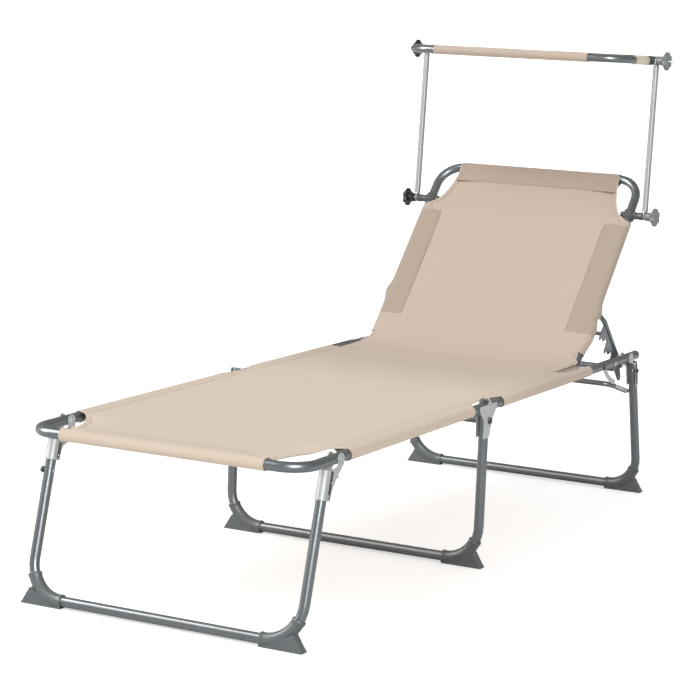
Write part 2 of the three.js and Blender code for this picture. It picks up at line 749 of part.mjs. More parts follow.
// Strut in its own frame: hinge at the origin, length along +Y, the notched side towards -Z
function notchedPlate() {
  const shape = new THREE.Shape();
  shape.moveTo(fingerRoots[0], -plateInner);
  shape.lineTo(fingerRoots[0], -fingerReaches[0]);
  notchPlaces.forEach((place, i) => {
    shape.lineTo(place - notchRadius, -Math.min(fingerReaches[i], notchDepth));
    shape.absarc(place, -notchDepth, notchRadius, Math.PI, 0, true);
    const next = fingerRoots[i + 1];
    if (next) {
      const reach = fingerReaches[i + 1];
      shape.lineTo(next, -reach);
      shape.lineTo(next + fingerWidth, -reach + notchRadius / 2);
    }
  });
  shape.lineTo(notchPlaces[2] + notchRadius + plateInner, -plateOuter);
  shape.lineTo(eyePlace, -eyeDepth - eyeRadius);
  shape.absarc(eyePlace, -eyeDepth, eyeRadius, -Math.PI / 2, Math.PI / 2, false);
  shape.lineTo(strutLength - plateInner, -plateInner);
  shape.holes.push(new THREE.Path().absarc(eyePlace, -eyeDepth, eyeHole, 0, fullTurn, true));
  shape.holes.push(new THREE.Path().absarc(tiePlace, -tieDepth, hug(tieRadius), 0, fullTurn, true));
  return plate(shape, strutX - plateHalf, strutX + plateHalf);
}

function strutSide() {
  const tube = rodY(-strutHead, strutLength, strutX, 0, strutRadius, strutRadius - strutWall);
  const hole = drill(strutX - 2 * strutRadius, strutX + 2 * strutRadius, pinRadius, 0, 0);
  return cut(join(tube, notchedPlate()), hole);
}

// Canopy clamp: a ring on the backrest tube with a stub out to the arm
function canopyClamp() {
  const ring = rodY(clampU - clampHalf, clampU + clampHalf, backX, 0, clampCollar);
  const stub = rodX(backX, armX - tabHalf - fit, clampU, 0, stubRadius);
  const past = clampHalf + overrun;
  const bore = rodY(clampU - past, clampU + past, backX, 0, hug(tubeRadius));
  return cut(join(ring, stub), bore, drill(backX + clampCollar + fit, armX, boltRadius, clampU, 0));
}

// Canopy arm in its own frame: lower bolt at the origin, upper bolt up +Z
function canopyArm() {
  const tube = rodZ(tabReach, armLength - tabReach, armX, 0, armRadius, armRadius - armWall);
  const tabs = [0, armLength].map((z) => {
    const inward = z === 0 ? 1 : -1;
    const outline = new THREE.Shape();
    outline.absarc(0, z, tabRadius, inward > 0 ? Math.PI : 0, inward > 0 ? fullTurn : Math.PI, false);
    outline.lineTo(inward * armRadius, z + inward * (tabReach + tabRadius));
    outline.lineTo(-inward * armRadius, z + inward * (tabReach + tabRadius));
    return plate(outline, armX - tabHalf, armX + tabHalf);
  });
  const holes = [0, armLength].map((z) => drill(armX - overrun, armX + overrun, boltRadius, 0, z));
  return cut(join(tube, ...tabs), ...holes);
}

// Hoop in its own frame: arm bolts on the x axis, the hoop in the (x, y) plane
function hoopTube() {
  const seam = fit;
  const corners = [
    point(seam, hoopHalf, 0), point(hoopX, hoopHalf, 0), point(hoopX, -hoopHalf, 0),
    point(-hoopX, -hoopHalf, 0), point(-hoopX, hoopHalf, 0), point(-seam, hoopHalf, 0),
  ];
  const tube = sweep(bentPath(corners, hoopBend), hoopRadius, hoopRadius - armWall);
  const [x0, x1] = [hoopX - hoopRadius - overrun, hoopX + hoopRadius + overrun];
  return cut(tube, ...drillBoth(x0, x1, boltRadius, 0, 0));
}

function canopyCloth() {
  const bore = hug(hoopRadius);
  const outline = shapeOf([[-hoopX, -hoopHalf], [hoopX, -hoopHalf], [hoopX, hoopHalf], [-hoopX, hoopHalf]]);
  const sheetTop = layer(outline, bore, canopySleeve);
  const hems = (radius) => [-1, 1].flatMap((side) => [
    rodX(-hoopX, hoopX, side * hoopHalf, 0, radius),
    rodY(-hoopHalf, hoopHalf, side * hoopX, 0, radius),
  ]);
  const corners = [-1, 1].flatMap((side) => {
    const end = side * (hoopHalf + canopySleeve);
    return cornerCuts(hoopX + canopySleeve, end, canopyCutX, canopyCutY, 0);
  });
  const saddles = [-1, 1].map((side) => {
    const box = new THREE.BoxGeometry(4 * jointRadius, 2 * (jointHalf + fit), 4 * jointRadius);
    return box.translate(side * (hoopX + jointRadius), 0, 0);
  });
  return cut(join(sheetTop, ...hems(canopySleeve)), ...hems(bore), ...corners, ...saddles);
}

// Saddle that joins the hoop to an arm
function hoopJoint() {
  const saddle = rodY(-jointHalf, jointHalf, hoopX, 0, jointRadius);
  const boss = rodX(hoopX, armX - tabHalf - fit, 0, 0, stubRadius);
  const bore = rodY(-jointHalf - overrun, jointHalf + overrun, hoopX, 0, hug(hoopRadius));
  return cut(join(saddle, boss), bore, drill(hoopX - 2 * jointRadius, armX, boltRadius, 0, 0));
}

// Star knob round a bolt on the x axis
function starKnob() {
  const count = knobLobes * lobeSteps;
  const rim = Array.from({ length: count }, (_, k) => {
    const angle = (fullTurn * k) / count;
    const radius = knobRadius - knobLobe + knobLobe * Math.cos(knobLobes * angle);
    return [radius * Math.cos(angle), radius * Math.sin(angle)];
  });
  const start = armX + tabHalf + washerGap;
  const face = start + knobHubLength;
  const star = plate(shapeOf(rim), face, face + knobThickness);
  const hub = rodX(start, face + fit, 0, 0, knobHub);
  return cut(join(star, hub), drill(start - overrun, face + knobThickness + overrun, boltRadius, 0, 0));
}

function armBolt(start) {
  const end = boltTip - boltRadius / 2;
  const washer = armX + tabHalf + fit;
  const profile = [
    [0, start], [boltRadius, start], [boltRadius, washer], [2 * boltRadius, washer],
    [2 * boltRadius, washer + washerGap / 2], [boltRadius, washer + washerGap / 2],
    [boltRadius, end], [boltRadius / 2, boltTip], [0, boltTip],
  ];
  return turned(profile, 0, 0);
}

// Bed
addPair('seat_rail', seatRail(), 'tube');
addPair('rail_end_cap', railCap(), 'foot');
addPiece('rear_cross_tube', catchTube(), 'tube');
addPiece('middle_cross_tube', middleSpreader(), 'tube');
addPair('middle_bracket', middleBracket(), 'zinc');
addPair('fold_hinge_pin', rodX(railInner, boltFace, foldY, foldAxisZ, foldPinRadius), 'zinc');
addPiece('seat_fabric', seatCloth(), 'cloth');
addPiece('foot_frame', footFrame(), 'tube');
addPiece('foot_fabric', footCloth(), 'cloth');

// Legs
addPiece('front_leg', legTube(frontLegY, legTopZ, []), 'tube');
addPair('front_foot', legFoot(frontLegY), 'foot');
addPair('front_bracket', legBracket(frontLegY, frontPivotY, 1), 'zinc');
addPair('front_pivot_pin', headedPin(pinFace, boltFace, pinRadius, pinHead, frontPivotY, railZ), 'zinc');
addPiece('middle_leg', middleLeg(), 'tube');
addPair('middle_foot', legFoot(middleLegY), 'foot');
addPair('middle_bolt', middleBolt(), 'joint');
addPiece('rear_leg', legTube(rearLegY, legTopZ, stayHoles()), 'tube');
addPair('rear_foot', legFoot(rearLegY), 'foot');
addPair('rear_bracket', legBracket(rearLegY, rearPivotY, -1), 'zinc');
addPair('rear_pivot_pin', headedPin(pinFace, boltFace, pinRadius, pinHead, rearPivotY, railZ), 'zinc');
addPair('stay_link', stayLink(), 'zinc');
addPiece('rear_stay', rearStay(), 'tube');

// Backrest with its struts
backrest.position.set(0, backPivotY, railZ);
backrest.rotation.x = backAngle;
addPiece('back_frame', backFrame(), 'tube', backrest);
addPiece('back_fabric', backCloth(), 'backCloth', backrest);
addPair('back_pivot_pin', backPin(), 'zinc', backrest);
addPair('strut_pin', strutPin(), 'zinc', backrest);
strut.position.set(0, strutU, 0);
strut.rotation.x = strutAngle - backAngle;
addPair('strut', strutSide(), 'tube', strut);
addPiece('strut_tie_rod', rodX(-tieEnd, tieEnd, tiePlace, -tieDepth, tieRadius), 'tube', strut);
backrest.add(strut);

// Canopy
addPair('canopy_clamp', canopyClamp(), 'joint', backrest);
arms.position.set(0, clampU, 0);
arms.rotation.x = -armLean - backAngle;
addPair('canopy_arm', canopyArm(), 'arm', arms);
addPair('clamp_bolt', armBolt(backX + clampCollar + 2 * fit), 'bolt', arms);
addPair('clamp_knob', starKnob(), 'knob', arms, 'darkKnob');
hoop.position.set(0, 0, armLength);
hoop.rotation.x = armLean + hoopRise;
addPiece('canopy_hoop', hoopTube(), 'arm', hoop);
addPiece('canopy_fabric', canopyCloth(), 'cloth', hoop);
addPair('hoop_joint', hoopJoint(), 'joint', hoop);
addPair('hoop_bolt', armBolt(hoopX - hoopRadius), 'bolt', hoop);
addPair('hoop_knob', starKnob(), 'knob', hoop, 'darkKnob');
arms.add(hoop);
backrest.add(arms);
lounger.add(backrest);

// Origin at the bottom centre of the whole
lounger.updateMatrixWorld(true);
const extent = new THREE.Box3().setFromObject(lounger, true);
const middle = extent.getCenter(point(0, 0, 0));
lounger.position.set(-middle.x, -middle.y, -extent.min.z);

export default lounger;
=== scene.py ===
import json
import math
import bmesh
import bpy
import numpy as np
from mathutils import Matrix, Vector
from mathutils.geometry import tessellate_polygon


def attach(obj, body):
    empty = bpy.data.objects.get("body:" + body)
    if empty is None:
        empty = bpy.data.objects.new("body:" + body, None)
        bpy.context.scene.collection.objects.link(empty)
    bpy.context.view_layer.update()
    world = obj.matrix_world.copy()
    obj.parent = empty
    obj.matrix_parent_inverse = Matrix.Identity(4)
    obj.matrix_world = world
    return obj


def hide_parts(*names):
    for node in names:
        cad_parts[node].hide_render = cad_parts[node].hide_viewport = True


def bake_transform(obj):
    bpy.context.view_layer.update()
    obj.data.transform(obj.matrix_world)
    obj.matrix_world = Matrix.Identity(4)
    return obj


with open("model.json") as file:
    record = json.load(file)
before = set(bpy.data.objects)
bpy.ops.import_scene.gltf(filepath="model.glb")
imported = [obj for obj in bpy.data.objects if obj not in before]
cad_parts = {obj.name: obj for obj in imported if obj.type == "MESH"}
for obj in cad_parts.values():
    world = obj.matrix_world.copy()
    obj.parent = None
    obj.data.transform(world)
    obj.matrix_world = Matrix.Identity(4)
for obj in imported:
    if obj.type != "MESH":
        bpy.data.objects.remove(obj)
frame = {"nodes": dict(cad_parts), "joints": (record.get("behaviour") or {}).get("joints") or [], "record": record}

print("frame loaded:", len(frame["nodes"]), "nodes")
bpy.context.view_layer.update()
anchors = {joint["name"]: np.array(joint["pos_m"]) for joint in frame["joints"]}

# places are written from the middle of the bed, as the CAD does, and moved by the frame's own offset;
# each of these is a turn about x, in radians, and the point it turns about
hingeY = 0.530
bedOrigin = np.array([0.0, anchors["backrest_recline"][1] - hingeY, 0.0])
bedPlace = (0.0, bedOrigin)
backPlace = (math.radians(48.4), anchors["backrest_recline"])
strutPlace = (math.radians(-47.3), anchors["struts_turn"])
armPlace = (math.radians(-4.2), anchors["canopy_arms_tilt"])
hoopPlace = (math.radians(-2.4), anchors["canopy_tilt"])


# shapes as arrays
def placed(points, place):
    # a turn about x by the place's angle, then a move to its origin
    angle, origin = place
    c, s = math.cos(angle), math.sin(angle)
    turn = np.array([[1, 0, 0], [0, c, -s], [0, s, c]])
    return np.asarray(points, float) @ turn.T + origin


def unit(vectors):
    return vectors / np.maximum(np.linalg.norm(vectors, axis=-1, keepdims=True), 1e-12)


def smoothStep(t):
    t = np.clip(t, 0, 1)
    return t * t * (3 - 2 * t)


def rounded(corners, radii, steps=10, closed=False):
    # every corner becomes a circle arc, as a rational quadratic curve from one side to the other:
    # ((1-t)^2 A + 2t(1-t)w C + t^2 B) / ((1-t)^2 + 2t(1-t)w + t^2), with w the cosine of half the turn
    c = np.asarray(corners, float)
    into, out = unit(c - np.roll(c, 1, 0)), unit(np.roll(c, -1, 0) - c)
    half = np.arccos(np.clip((into * out).sum(1), -1, 1))[:, None] / 2
    reach = np.broadcast_to(np.asarray(radii, float).reshape(-1, 1), half.shape) * np.tan(half)
    a, b, w = (c - into * reach)[:, None], (c + out * reach)[:, None], np.cos(half)[:, None]

    def at(t):
        t = t[None, :, None]
        near, mid, far = (1 - t) ** 2, 2 * t * (1 - t) * w, t ** 2
        return (near * a + mid * c[:, None] + far * b) / (near + mid + far)

    t = np.linspace(0, 1, steps)
    points = at(t)
    along = unit(at(np.minimum(t + 1e-4, 1)) - at(np.maximum(t - 1e-4, 0)))
    if closed:
        return points.reshape(-1, c.shape[1]), along.reshape(-1, c.shape[1])
    points = np.concatenate([c[:1], points[1:-1].reshape(-1, c.shape[1]), c[-1:]])
    along = np.concatenate([out[:1], along[1:-1].reshape(-1, c.shape[1]), into[-1:]])
    return points, along


def lengthAlong(points):
    return np.concatenate([[0], np.cumsum(np.linalg.norm(np.diff(points, axis=0), axis=1))])


def sampled(stations, run, values):
    # every column of values at the stations, with run the length at each row
    return np.stack([np.interp(stations, run, column) for column in values.T], -1)


def outlined(corners, radii, steps=5):
    # a closed outline with every corner rounded
    return rounded(corners, radii, steps, closed=True)[0]


def grid(points, wrapRows=False, wrapColumns=False, capRows=False):
    # an array of rows and columns of points, with a quad between each four neighbours
    rows, columns = points.shape[:2]
    index = np.arange(rows * columns).reshape(rows, columns)
    if wrapRows:
        index = np.concatenate([index, index[:1]])
    if wrapColumns:
        index = np.concatenate([index, index[:, :1]], 1)
    quads = np.stack([index[:-1, :-1], index[:-1, 1:], index[1:, 1:], index[1:, :-1]], -1).reshape(-1, 4)
    faces = quads.tolist()
    if capRows:
        faces += [index[0, :columns][::-1].tolist(), index[-1, :columns].tolist()]
    return points.reshape(-1, 3), faces


def gridPoints(x, y, z):
    return np.stack(np.broadcast_arrays(x, y, z), -1)


def circle(radius, sides=28, squash=1.0):
    turn = np.arange(sides) * 2 * np.pi / sides
    return np.stack([radius * np.cos(turn), squash * radius * np.sin(turn)], -1)


def carried(profile, points, along, normal):
    # a flat profile carried along a path: P + profile_x N + profile_y (T x N)
    normal = np.broadcast_to(np.asarray(normal, float), along.shape)
    across = np.cross(along, normal)
    profile = np.asarray(profile, float)
    if profile.ndim == 2:
        profile = np.broadcast_to(profile, (len(points),) + profile.shape)
    return points[:, None] + profile[..., :1] * normal[:, None] + profile[..., 1:] * across[:, None]


def tube(corners, bend, radius, wall, normal, sides=28):
    # a circle carried out along the bent path and a smaller one carried back inside it
    points, along = rounded(corners, bend)
    outer = carried(circle(radius, sides), points, along, normal)
    inner = carried(circle(radius - wall, sides), points, along, normal)
    return grid(np.concatenate([outer, inner[::-1]]), wrapRows=True, wrapColumns=True)


def rod(start, end, radius, sides=20):
    points = np.array([start, end], float)
    along = unit(points[1:] - points[:1]).repeat(2, 0)
    normal = [0, 0, 1] if abs(along[0, 2]) < 0.7 else [1, 0, 0]
    return grid(carried(circle(radius, sides), points, along, unit(np.cross(along[0], normal))),
                wrapColumns=True, capRows=True)


def turned(profile, centre, axis=(1, 0, 0), sides=24):
    # pairs of place along the axis and radius, turned once round it
    profile, axis = np.asarray(profile, float), np.asarray(axis, float)
    first = np.array([0, 0, 1.0]) if abs(axis[2]) < 0.7 else np.array([1.0, 0, 0])
    second = np.cross(axis, first)
    ring = circle(1, sides)
    spokes = ring[:, :1] * first + ring[:, 1:] * second
    points = np.asarray(centre, float) + profile[:, None, :1] * axis + profile[:, None, 1:] * spokes
    return grid(points, wrapColumns=True)


def dome(start, face, radius, steps=6):
    # profile of a low domed head from its seat to its top
    t = np.linspace(0, np.pi / 2, steps)
    return np.stack([start + (face - start) * np.sin(t), radius * np.cos(t)], -1).tolist()


def stepped(steps, end):
    # profile of plain cylinders, closed at its start: each begins at its place with its radius
    profile = [(steps[0][0], 0)]
    for (low, radius), high in zip(steps, [step[0] for step in steps[1:]] + [end]):
        profile += [(low, radius), (high, radius)]
    return profile


def rivetHeads(face, height, spots):
    # low domed heads on a sheet's outer face, each given as y, z and radius
    return [turned([(face - 0.001, 0)] + dome(face - 0.0002, face + height, radius), (0, y, z))
            for y, z, radius in spots]


def plate(outline, low, high, axis=0, holes=()):
    # a flat outline with holes, filled at both faces and closed round every edge
    loops = [np.asarray(loop, float) for loop in (outline, *holes)]
    flat = np.concatenate(loops)
    count = len(flat)
    triangles = [list(range(count))]
    if holes:
        triangles = tessellate_polygon([[Vector((p[0], p[1], 0)) for p in loop] for loop in loops])
    layers = np.array([low, high])[:, None, None].repeat(count, 1)
    points = np.concatenate([layers, np.broadcast_to(flat, (2,) + flat.shape)], -1).reshape(-1, 3)
    points = points if axis == 0 else points[:, [1, 0, 2]]
    faces = [list(t) for t in triangles] + [[i + count for i in t[::-1]] for t in triangles]
    begin = 0
    for loop in loops:
        ids = begin + np.arange(len(loop))
        nextIds = np.roll(ids, -1)
        faces += np.stack([ids, nextIds, nextIds + count, ids + count], -1).tolist()
        begin += len(loop)
    return points, faces


def disc(y, z, radius, sides=20):
    return circle(radius, sides) + [y, z]


def mirrored(part):
    points, faces = part
    return points * [-1, 1, 1], [face[::-1] for face in faces]


meshing = dict(merge=2e-6, sliver=1e-7, bevelAngle=38, bevelSegments=2)


def piece(name, parts, material, place, body=None, stands=(), slot=None,
          bevel=0.0, thickness=0.0, sharp=40, uv=None):
    # joins the parts into one mesh, with merged doubles and faces outwards, and rides it on its body
    points, faces, begin = [], [], 0
    for partPoints, partFaces in parts:
        points.append(np.asarray(partPoints, float))
        faces += [[i + begin for i in face] for face in partFaces]
        begin += len(partPoints)
    points = placed(np.concatenate(points), place)
    mesh = bpy.data.meshes.new(name)
    mesh.from_pydata(points.tolist(), [], faces)
    for layer, values in (uv or {}).items():
        loops = np.zeros(len(mesh.loops), np.int32)
        mesh.loops.foreach_get("vertex_index", loops)
        made = mesh.uv_layers.new(name=layer)
        made.data.foreach_set("uv", np.asarray(values, np.float32)[loops].ravel())
    work = bmesh.new()
    work.from_mesh(mesh)
    bmesh.ops.remove_doubles(work, verts=work.verts, dist=meshing["merge"])
    bmesh.ops.dissolve_degenerate(work, edges=work.edges, dist=meshing["sliver"])
    bmesh.ops.recalc_face_normals(work, faces=work.faces)
    work.to_mesh(mesh)
    work.free()
    mesh.shade_smooth()
    mesh.set_sharp_from_angle(angle=math.radians(sharp))
    mesh.materials.append(material)
    thing = bpy.data.objects.new(name, mesh)
    bpy.context.scene.collection.objects.link(thing)
    if thickness:
        solid = thing.modifiers.new("thickness", "SOLIDIFY")
        solid.thickness, solid.offset = thickness, 0
    if bevel:
        edge = thing.modifiers.new("edges", "BEVEL")
        edge.width, edge.segments, edge.limit_method = bevel, meshing["bevelSegments"], "ANGLE"
        edge.angle_limit = math.radians(meshing["bevelAngle"])
        edge.harden_normals = True
    if body:
        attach(thing, body)
    if stands:
        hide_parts(*stands)
    return thing


def pair(name, parts, material, place, body, stands=(), slot=None, **more):
    # the same piece on the right and, mirrored, on the left
    for side, shapes in (("Right", parts), ("Left", [mirrored(part) for part in parts])):
        nodes = [node + "_" + side.lower() for node in stands]
        piece(name + side, shapes, material, place, body, nodes, slot, **more)


# camera
def makeCamera():
    # angles in degrees; the picture's middle and the focal length in its pixels, the sensor in millimetres
    view = dict(azimuth=28.4, elevation=9.35, distance=5.0563, roll=1.76, target=(-0.0300, -0.0110, 0.4169),
                focalPixels=2440.3, middleX=-2.6, middleY=0.6, farClip=200)
    pixels, sensor = 696, 36.0
    a, e, r = (math.radians(view[k]) for k in ("azimuth", "elevation", "roll"))
    back = Vector((math.sin(a) * math.cos(e), -math.cos(a) * math.cos(e), math.sin(e)))
    side = Vector((math.cos(a), math.sin(a), 0))
    up = back.cross(side)
    sideRolled = side * math.cos(r) + up * math.sin(r)
    upRolled = up * math.cos(r) - side * math.sin(r)
    data = bpy.data.cameras.new("camera")
    data.sensor_width, data.lens = sensor, view["focalPixels"] * sensor / pixels
    data.shift_x, data.shift_y = -view["middleX"] / pixels, view["middleY"] / pixels
    data.clip_end = view["farClip"]
    camera = bpy.data.objects.new("camera", data)
    place = Vector(view["target"]) + Vector(bedOrigin) + back * view["distance"]
    rotation = Matrix((sideRolled, upRolled, back)).transposed().to_4x4()
    camera.matrix_world = Matrix.Translation(place) @ rotation
    bpy.context.scene.collection.objects.link(camera)
    bpy.context.scene.camera = camera


# materials
class Nodes:
    # short ways to add and join shader nodes in one tree
    def __init__(self, tree):
        self.tree = tree

    def feed(self, node, inputs):
        # a socket is linked, and anything else becomes the input's own value
        for key, value in inputs.items():
            if isinstance(value, bpy.types.NodeSocket):
                self.tree.links.new(value, node.inputs[key])
            else:
                node.inputs[key].default_value = value
        return node

    def add(self, kind, inputs=None, **settings):
        node = self.tree.nodes.new(kind)
        for key, value in settings.items():
            setattr(node, key, value)
        return self.feed(node, inputs or {})

    def math(self, operation, *values):
        return self.add("ShaderNodeMath", dict(enumerate(values)), operation=operation).outputs[0]

    def times(self, *values):
        return self.math("MULTIPLY", *values)

    def plus(self, *values):
        return self.math("ADD", *values)

    def minus(self, *values):
        return self.math("SUBTRACT", *values)

    def noise(self, vector, scale, detail=3.0, roughness=0.5, stretch=None):
        if stretch:
            vector = self.add("ShaderNodeMapping", {"Vector": vector, "Scale": stretch}).outputs[0]
        return self.add("ShaderNodeTexNoise", {"Vector": vector, "Scale": scale, "Detail": detail,
                                               "Roughness": roughness}).outputs["Fac"]

    def spread(self, value, low, high, toLow=0.0, toHigh=1.0):
        return self.add("ShaderNodeMapRange", {"Value": value, "From Min": low, "From Max": high,
                                               "To Min": toLow, "To Max": toHigh}).outputs[0]

    def mix(self, factor, first, second, blend="MIX"):
        return self.add("ShaderNodeMix", {0: factor, 6: first, 7: second},
                        data_type="RGBA", blend_type=blend).outputs[2]

    def tint(self, factor, color, by):
        return self.mix(factor, color, by, "MULTIPLY")


def makeGroup(name, inputs, outputs, build):
    # a shader node group with named sockets, each given as name, kind and first value
    tree = bpy.data.node_groups.new(name, "ShaderNodeTree")
    for label, kind, value in inputs:
        socket = tree.interface.new_socket(label, in_out="INPUT", socket_type="NodeSocket" + kind)
        if value is not None:
            socket.default_value = value
    for label, kind in outputs:
        tree.interface.new_socket(label, in_out="OUTPUT", socket_type="NodeSocket" + kind)
    nodes = Nodes(tree)
    given = nodes.add("NodeGroupInput").outputs
    nodes.add("NodeGroupOutput", build(nodes, given))
    return tree


def shade(color, light):
    return tuple(min(1.0, c * light) for c in color[:3]) + (1.0,)


def buildSurface(nodes, given):
    # the colour eases from the first to the second with a slow noise, and on to the wear colour, by the
    # wear, where a finer noise passes 0.62 to 0.75; roughness = given + (grain - 0.5) x spread, and the
    # height is the grain
    cloud = nodes.noise(given["Vector"], 9.0, 2.0)
    grain = nodes.noise(given["Vector"], given["Grain Scale"], 3.0, 0.6)
    worn = nodes.spread(nodes.noise(given["Vector"], 55.0, 4.0, 0.7), 0.62, 0.75)
    color = nodes.mix(nodes.spread(cloud, 0.3, 0.7), given["Color"], given["Second Color"])
    color = nodes.mix(nodes.times(worn, given["Wear"]), color, given["Wear Color"])
    rough = nodes.plus(given["Roughness"], nodes.times(nodes.minus(grain, 0.5), given["Roughness Spread"]))
    return {"Color": color, "Roughness": rough, "Height": grain}


surfaceGroup = makeGroup(
    "finishedSurface",
    [("Vector", "Vector", None), ("Color", "Color", (0.2, 0.2, 0.2, 1)),
     ("Second Color", "Color", (0.2, 0.2, 0.2, 1)), ("Wear Color", "Color", (0.5, 0.5, 0.5, 1)),
     ("Wear", "Float", 0.1), ("Grain Scale", "Float", 900.0),
     ("Roughness", "Float", 0.4), ("Roughness Spread", "Float", 0.15)],
    [("Color", "Color"), ("Roughness", "Float"), ("Height", "Float")], buildSurface)


def buildWeave(nodes, given):
    # height = 0.5 + 0.5 sin(warp) sin(weft), so that the threads take turns on top, plus 0.6 x the slubs;
    # colour from dark to light by 0.5 + (slub - 0.5) x its share + 0.10 (height - 0.5) + 0.07 (cloud - 0.5)
    split = nodes.add("ShaderNodeSeparateXYZ", {0: given["Vector"]}).outputs
    step = nodes.math("DIVIDE", 2 * math.pi, given["Thread"])
    warp, weft = (nodes.math("SINE", nodes.times(split[k], step)) for k in (0, 1))
    height = nodes.plus(nodes.times(nodes.times(warp, weft), 0.5), 0.5)
    slubWarp, slubWeft = (nodes.noise(given["Vector"], 1.0, 2.0, 0.6, stretch)
                          for stretch in ((900.0, 30.0, 1.0), (30.0, 900.0, 1.0)))
    slub = nodes.times(nodes.plus(slubWarp, slubWeft), 0.5)
    cloud = nodes.noise(given["Vector"], 7.0, 3.0, 0.55)
    tone = nodes.plus(nodes.times(nodes.minus(slub, 0.5), given["Slub"]),
                      nodes.times(nodes.minus(height, 0.5), 0.10))
    tone = nodes.plus(tone, nodes.times(nodes.minus(cloud, 0.5), 0.07))
    color = nodes.mix(nodes.plus(tone, 0.5), given["Dark"], given["Light"])
    return {"Color": color, "Height": nodes.plus(height, nodes.times(slub, 0.6))}


weaveGroup = makeGroup(
    "plainWeave",
    [("Vector", "Vector", None), ("Thread", "Float", 0.0014), ("Slub", "Float", 0.3),
     ("Dark", "Color", (0.5, 0.4, 0.3, 1)), ("Light", "Color", (0.6, 0.5, 0.4, 1))],
    [("Color", "Color"), ("Height", "Float")], buildWeave)


def buildStitch(nodes, given):
    # the line falls from 1 to 0 as Across leaves 1 by its width; thread shows on it where the fraction of
    # Along / Pitch is above 0.3
    near = nodes.math("ABSOLUTE", nodes.minus(given["Across"], 1.0))
    line = nodes.minus(1.0, nodes.spread(near, 0.0, given["Width"]))
    turns = nodes.math("DIVIDE", given["Along"], given["Pitch"])
    dash = nodes.math("GREATER_THAN", nodes.math("FRACT", turns), 0.3)
    return {"Thread": nodes.times(line, dash), "Groove": line}


stitchGroup = makeGroup(
    "stitchLine",
    [("Across", "Float", 0.0), ("Along", "Float", 0.0), ("Width", "Float", 0.075),
     ("Pitch", "Float", 0.0042)],
    [("Thread", "Float"), ("Groove", "Float")], buildStitch)


def newMaterial(name):
    material = bpy.data.materials.new(name)
    material.use_nodes = True
    return material, Nodes(material.node_tree), material.node_tree.nodes["Principled BSDF"]


def metalOrPlastic(name, look):
    # a finish from the surface group, with its grain as bump; a look says only what isn't usual
    usual = dict(drift=1.12, wearLight=1.6, wear=0.12, grain=900.0, spread=0.12, bump=0.1,
                 bumpDepth=0.0003, metallic=0.0, coat=0.0, coatRoughness=0.2, stretch=None)
    look = {**usual, **look}
    material, nodes, shader = newMaterial(name)
    place = nodes.add("ShaderNodeTexCoord").outputs["Object"]
    if look["stretch"]:
        place = nodes.add("ShaderNodeMapping", {"Vector": place, "Scale": look["stretch"]}).outputs[0]
    base = (*look["color"], 1.0)
    made = nodes.add("ShaderNodeGroup", {
        "Vector": place, "Color": base, "Second Color": shade(base, look["drift"]),
        "Wear Color": shade(base, look["wearLight"]), "Wear": look["wear"], "Grain Scale": look["grain"],
        "Roughness": look["roughness"], "Roughness Spread": look["spread"]}, node_tree=surfaceGroup).outputs
    bump = nodes.add("ShaderNodeBump", {"Height": made["Height"], "Strength": look["bump"],
                                        "Distance": look["bumpDepth"]})
    nodes.feed(shader, {"Base Color": made["Color"], "Roughness": made["Roughness"],
                        "Normal": bump.outputs[0], "Metallic": look["metallic"],
                        "Coat Weight": look["coat"], "Coat Roughness": look["coatRoughness"]})
    return material


# where the cloth is doubled: past x from the middle line between low and high up the back, and past top
bands = dict(x=0.207, low=0.085, high=0.387, top=0.479)


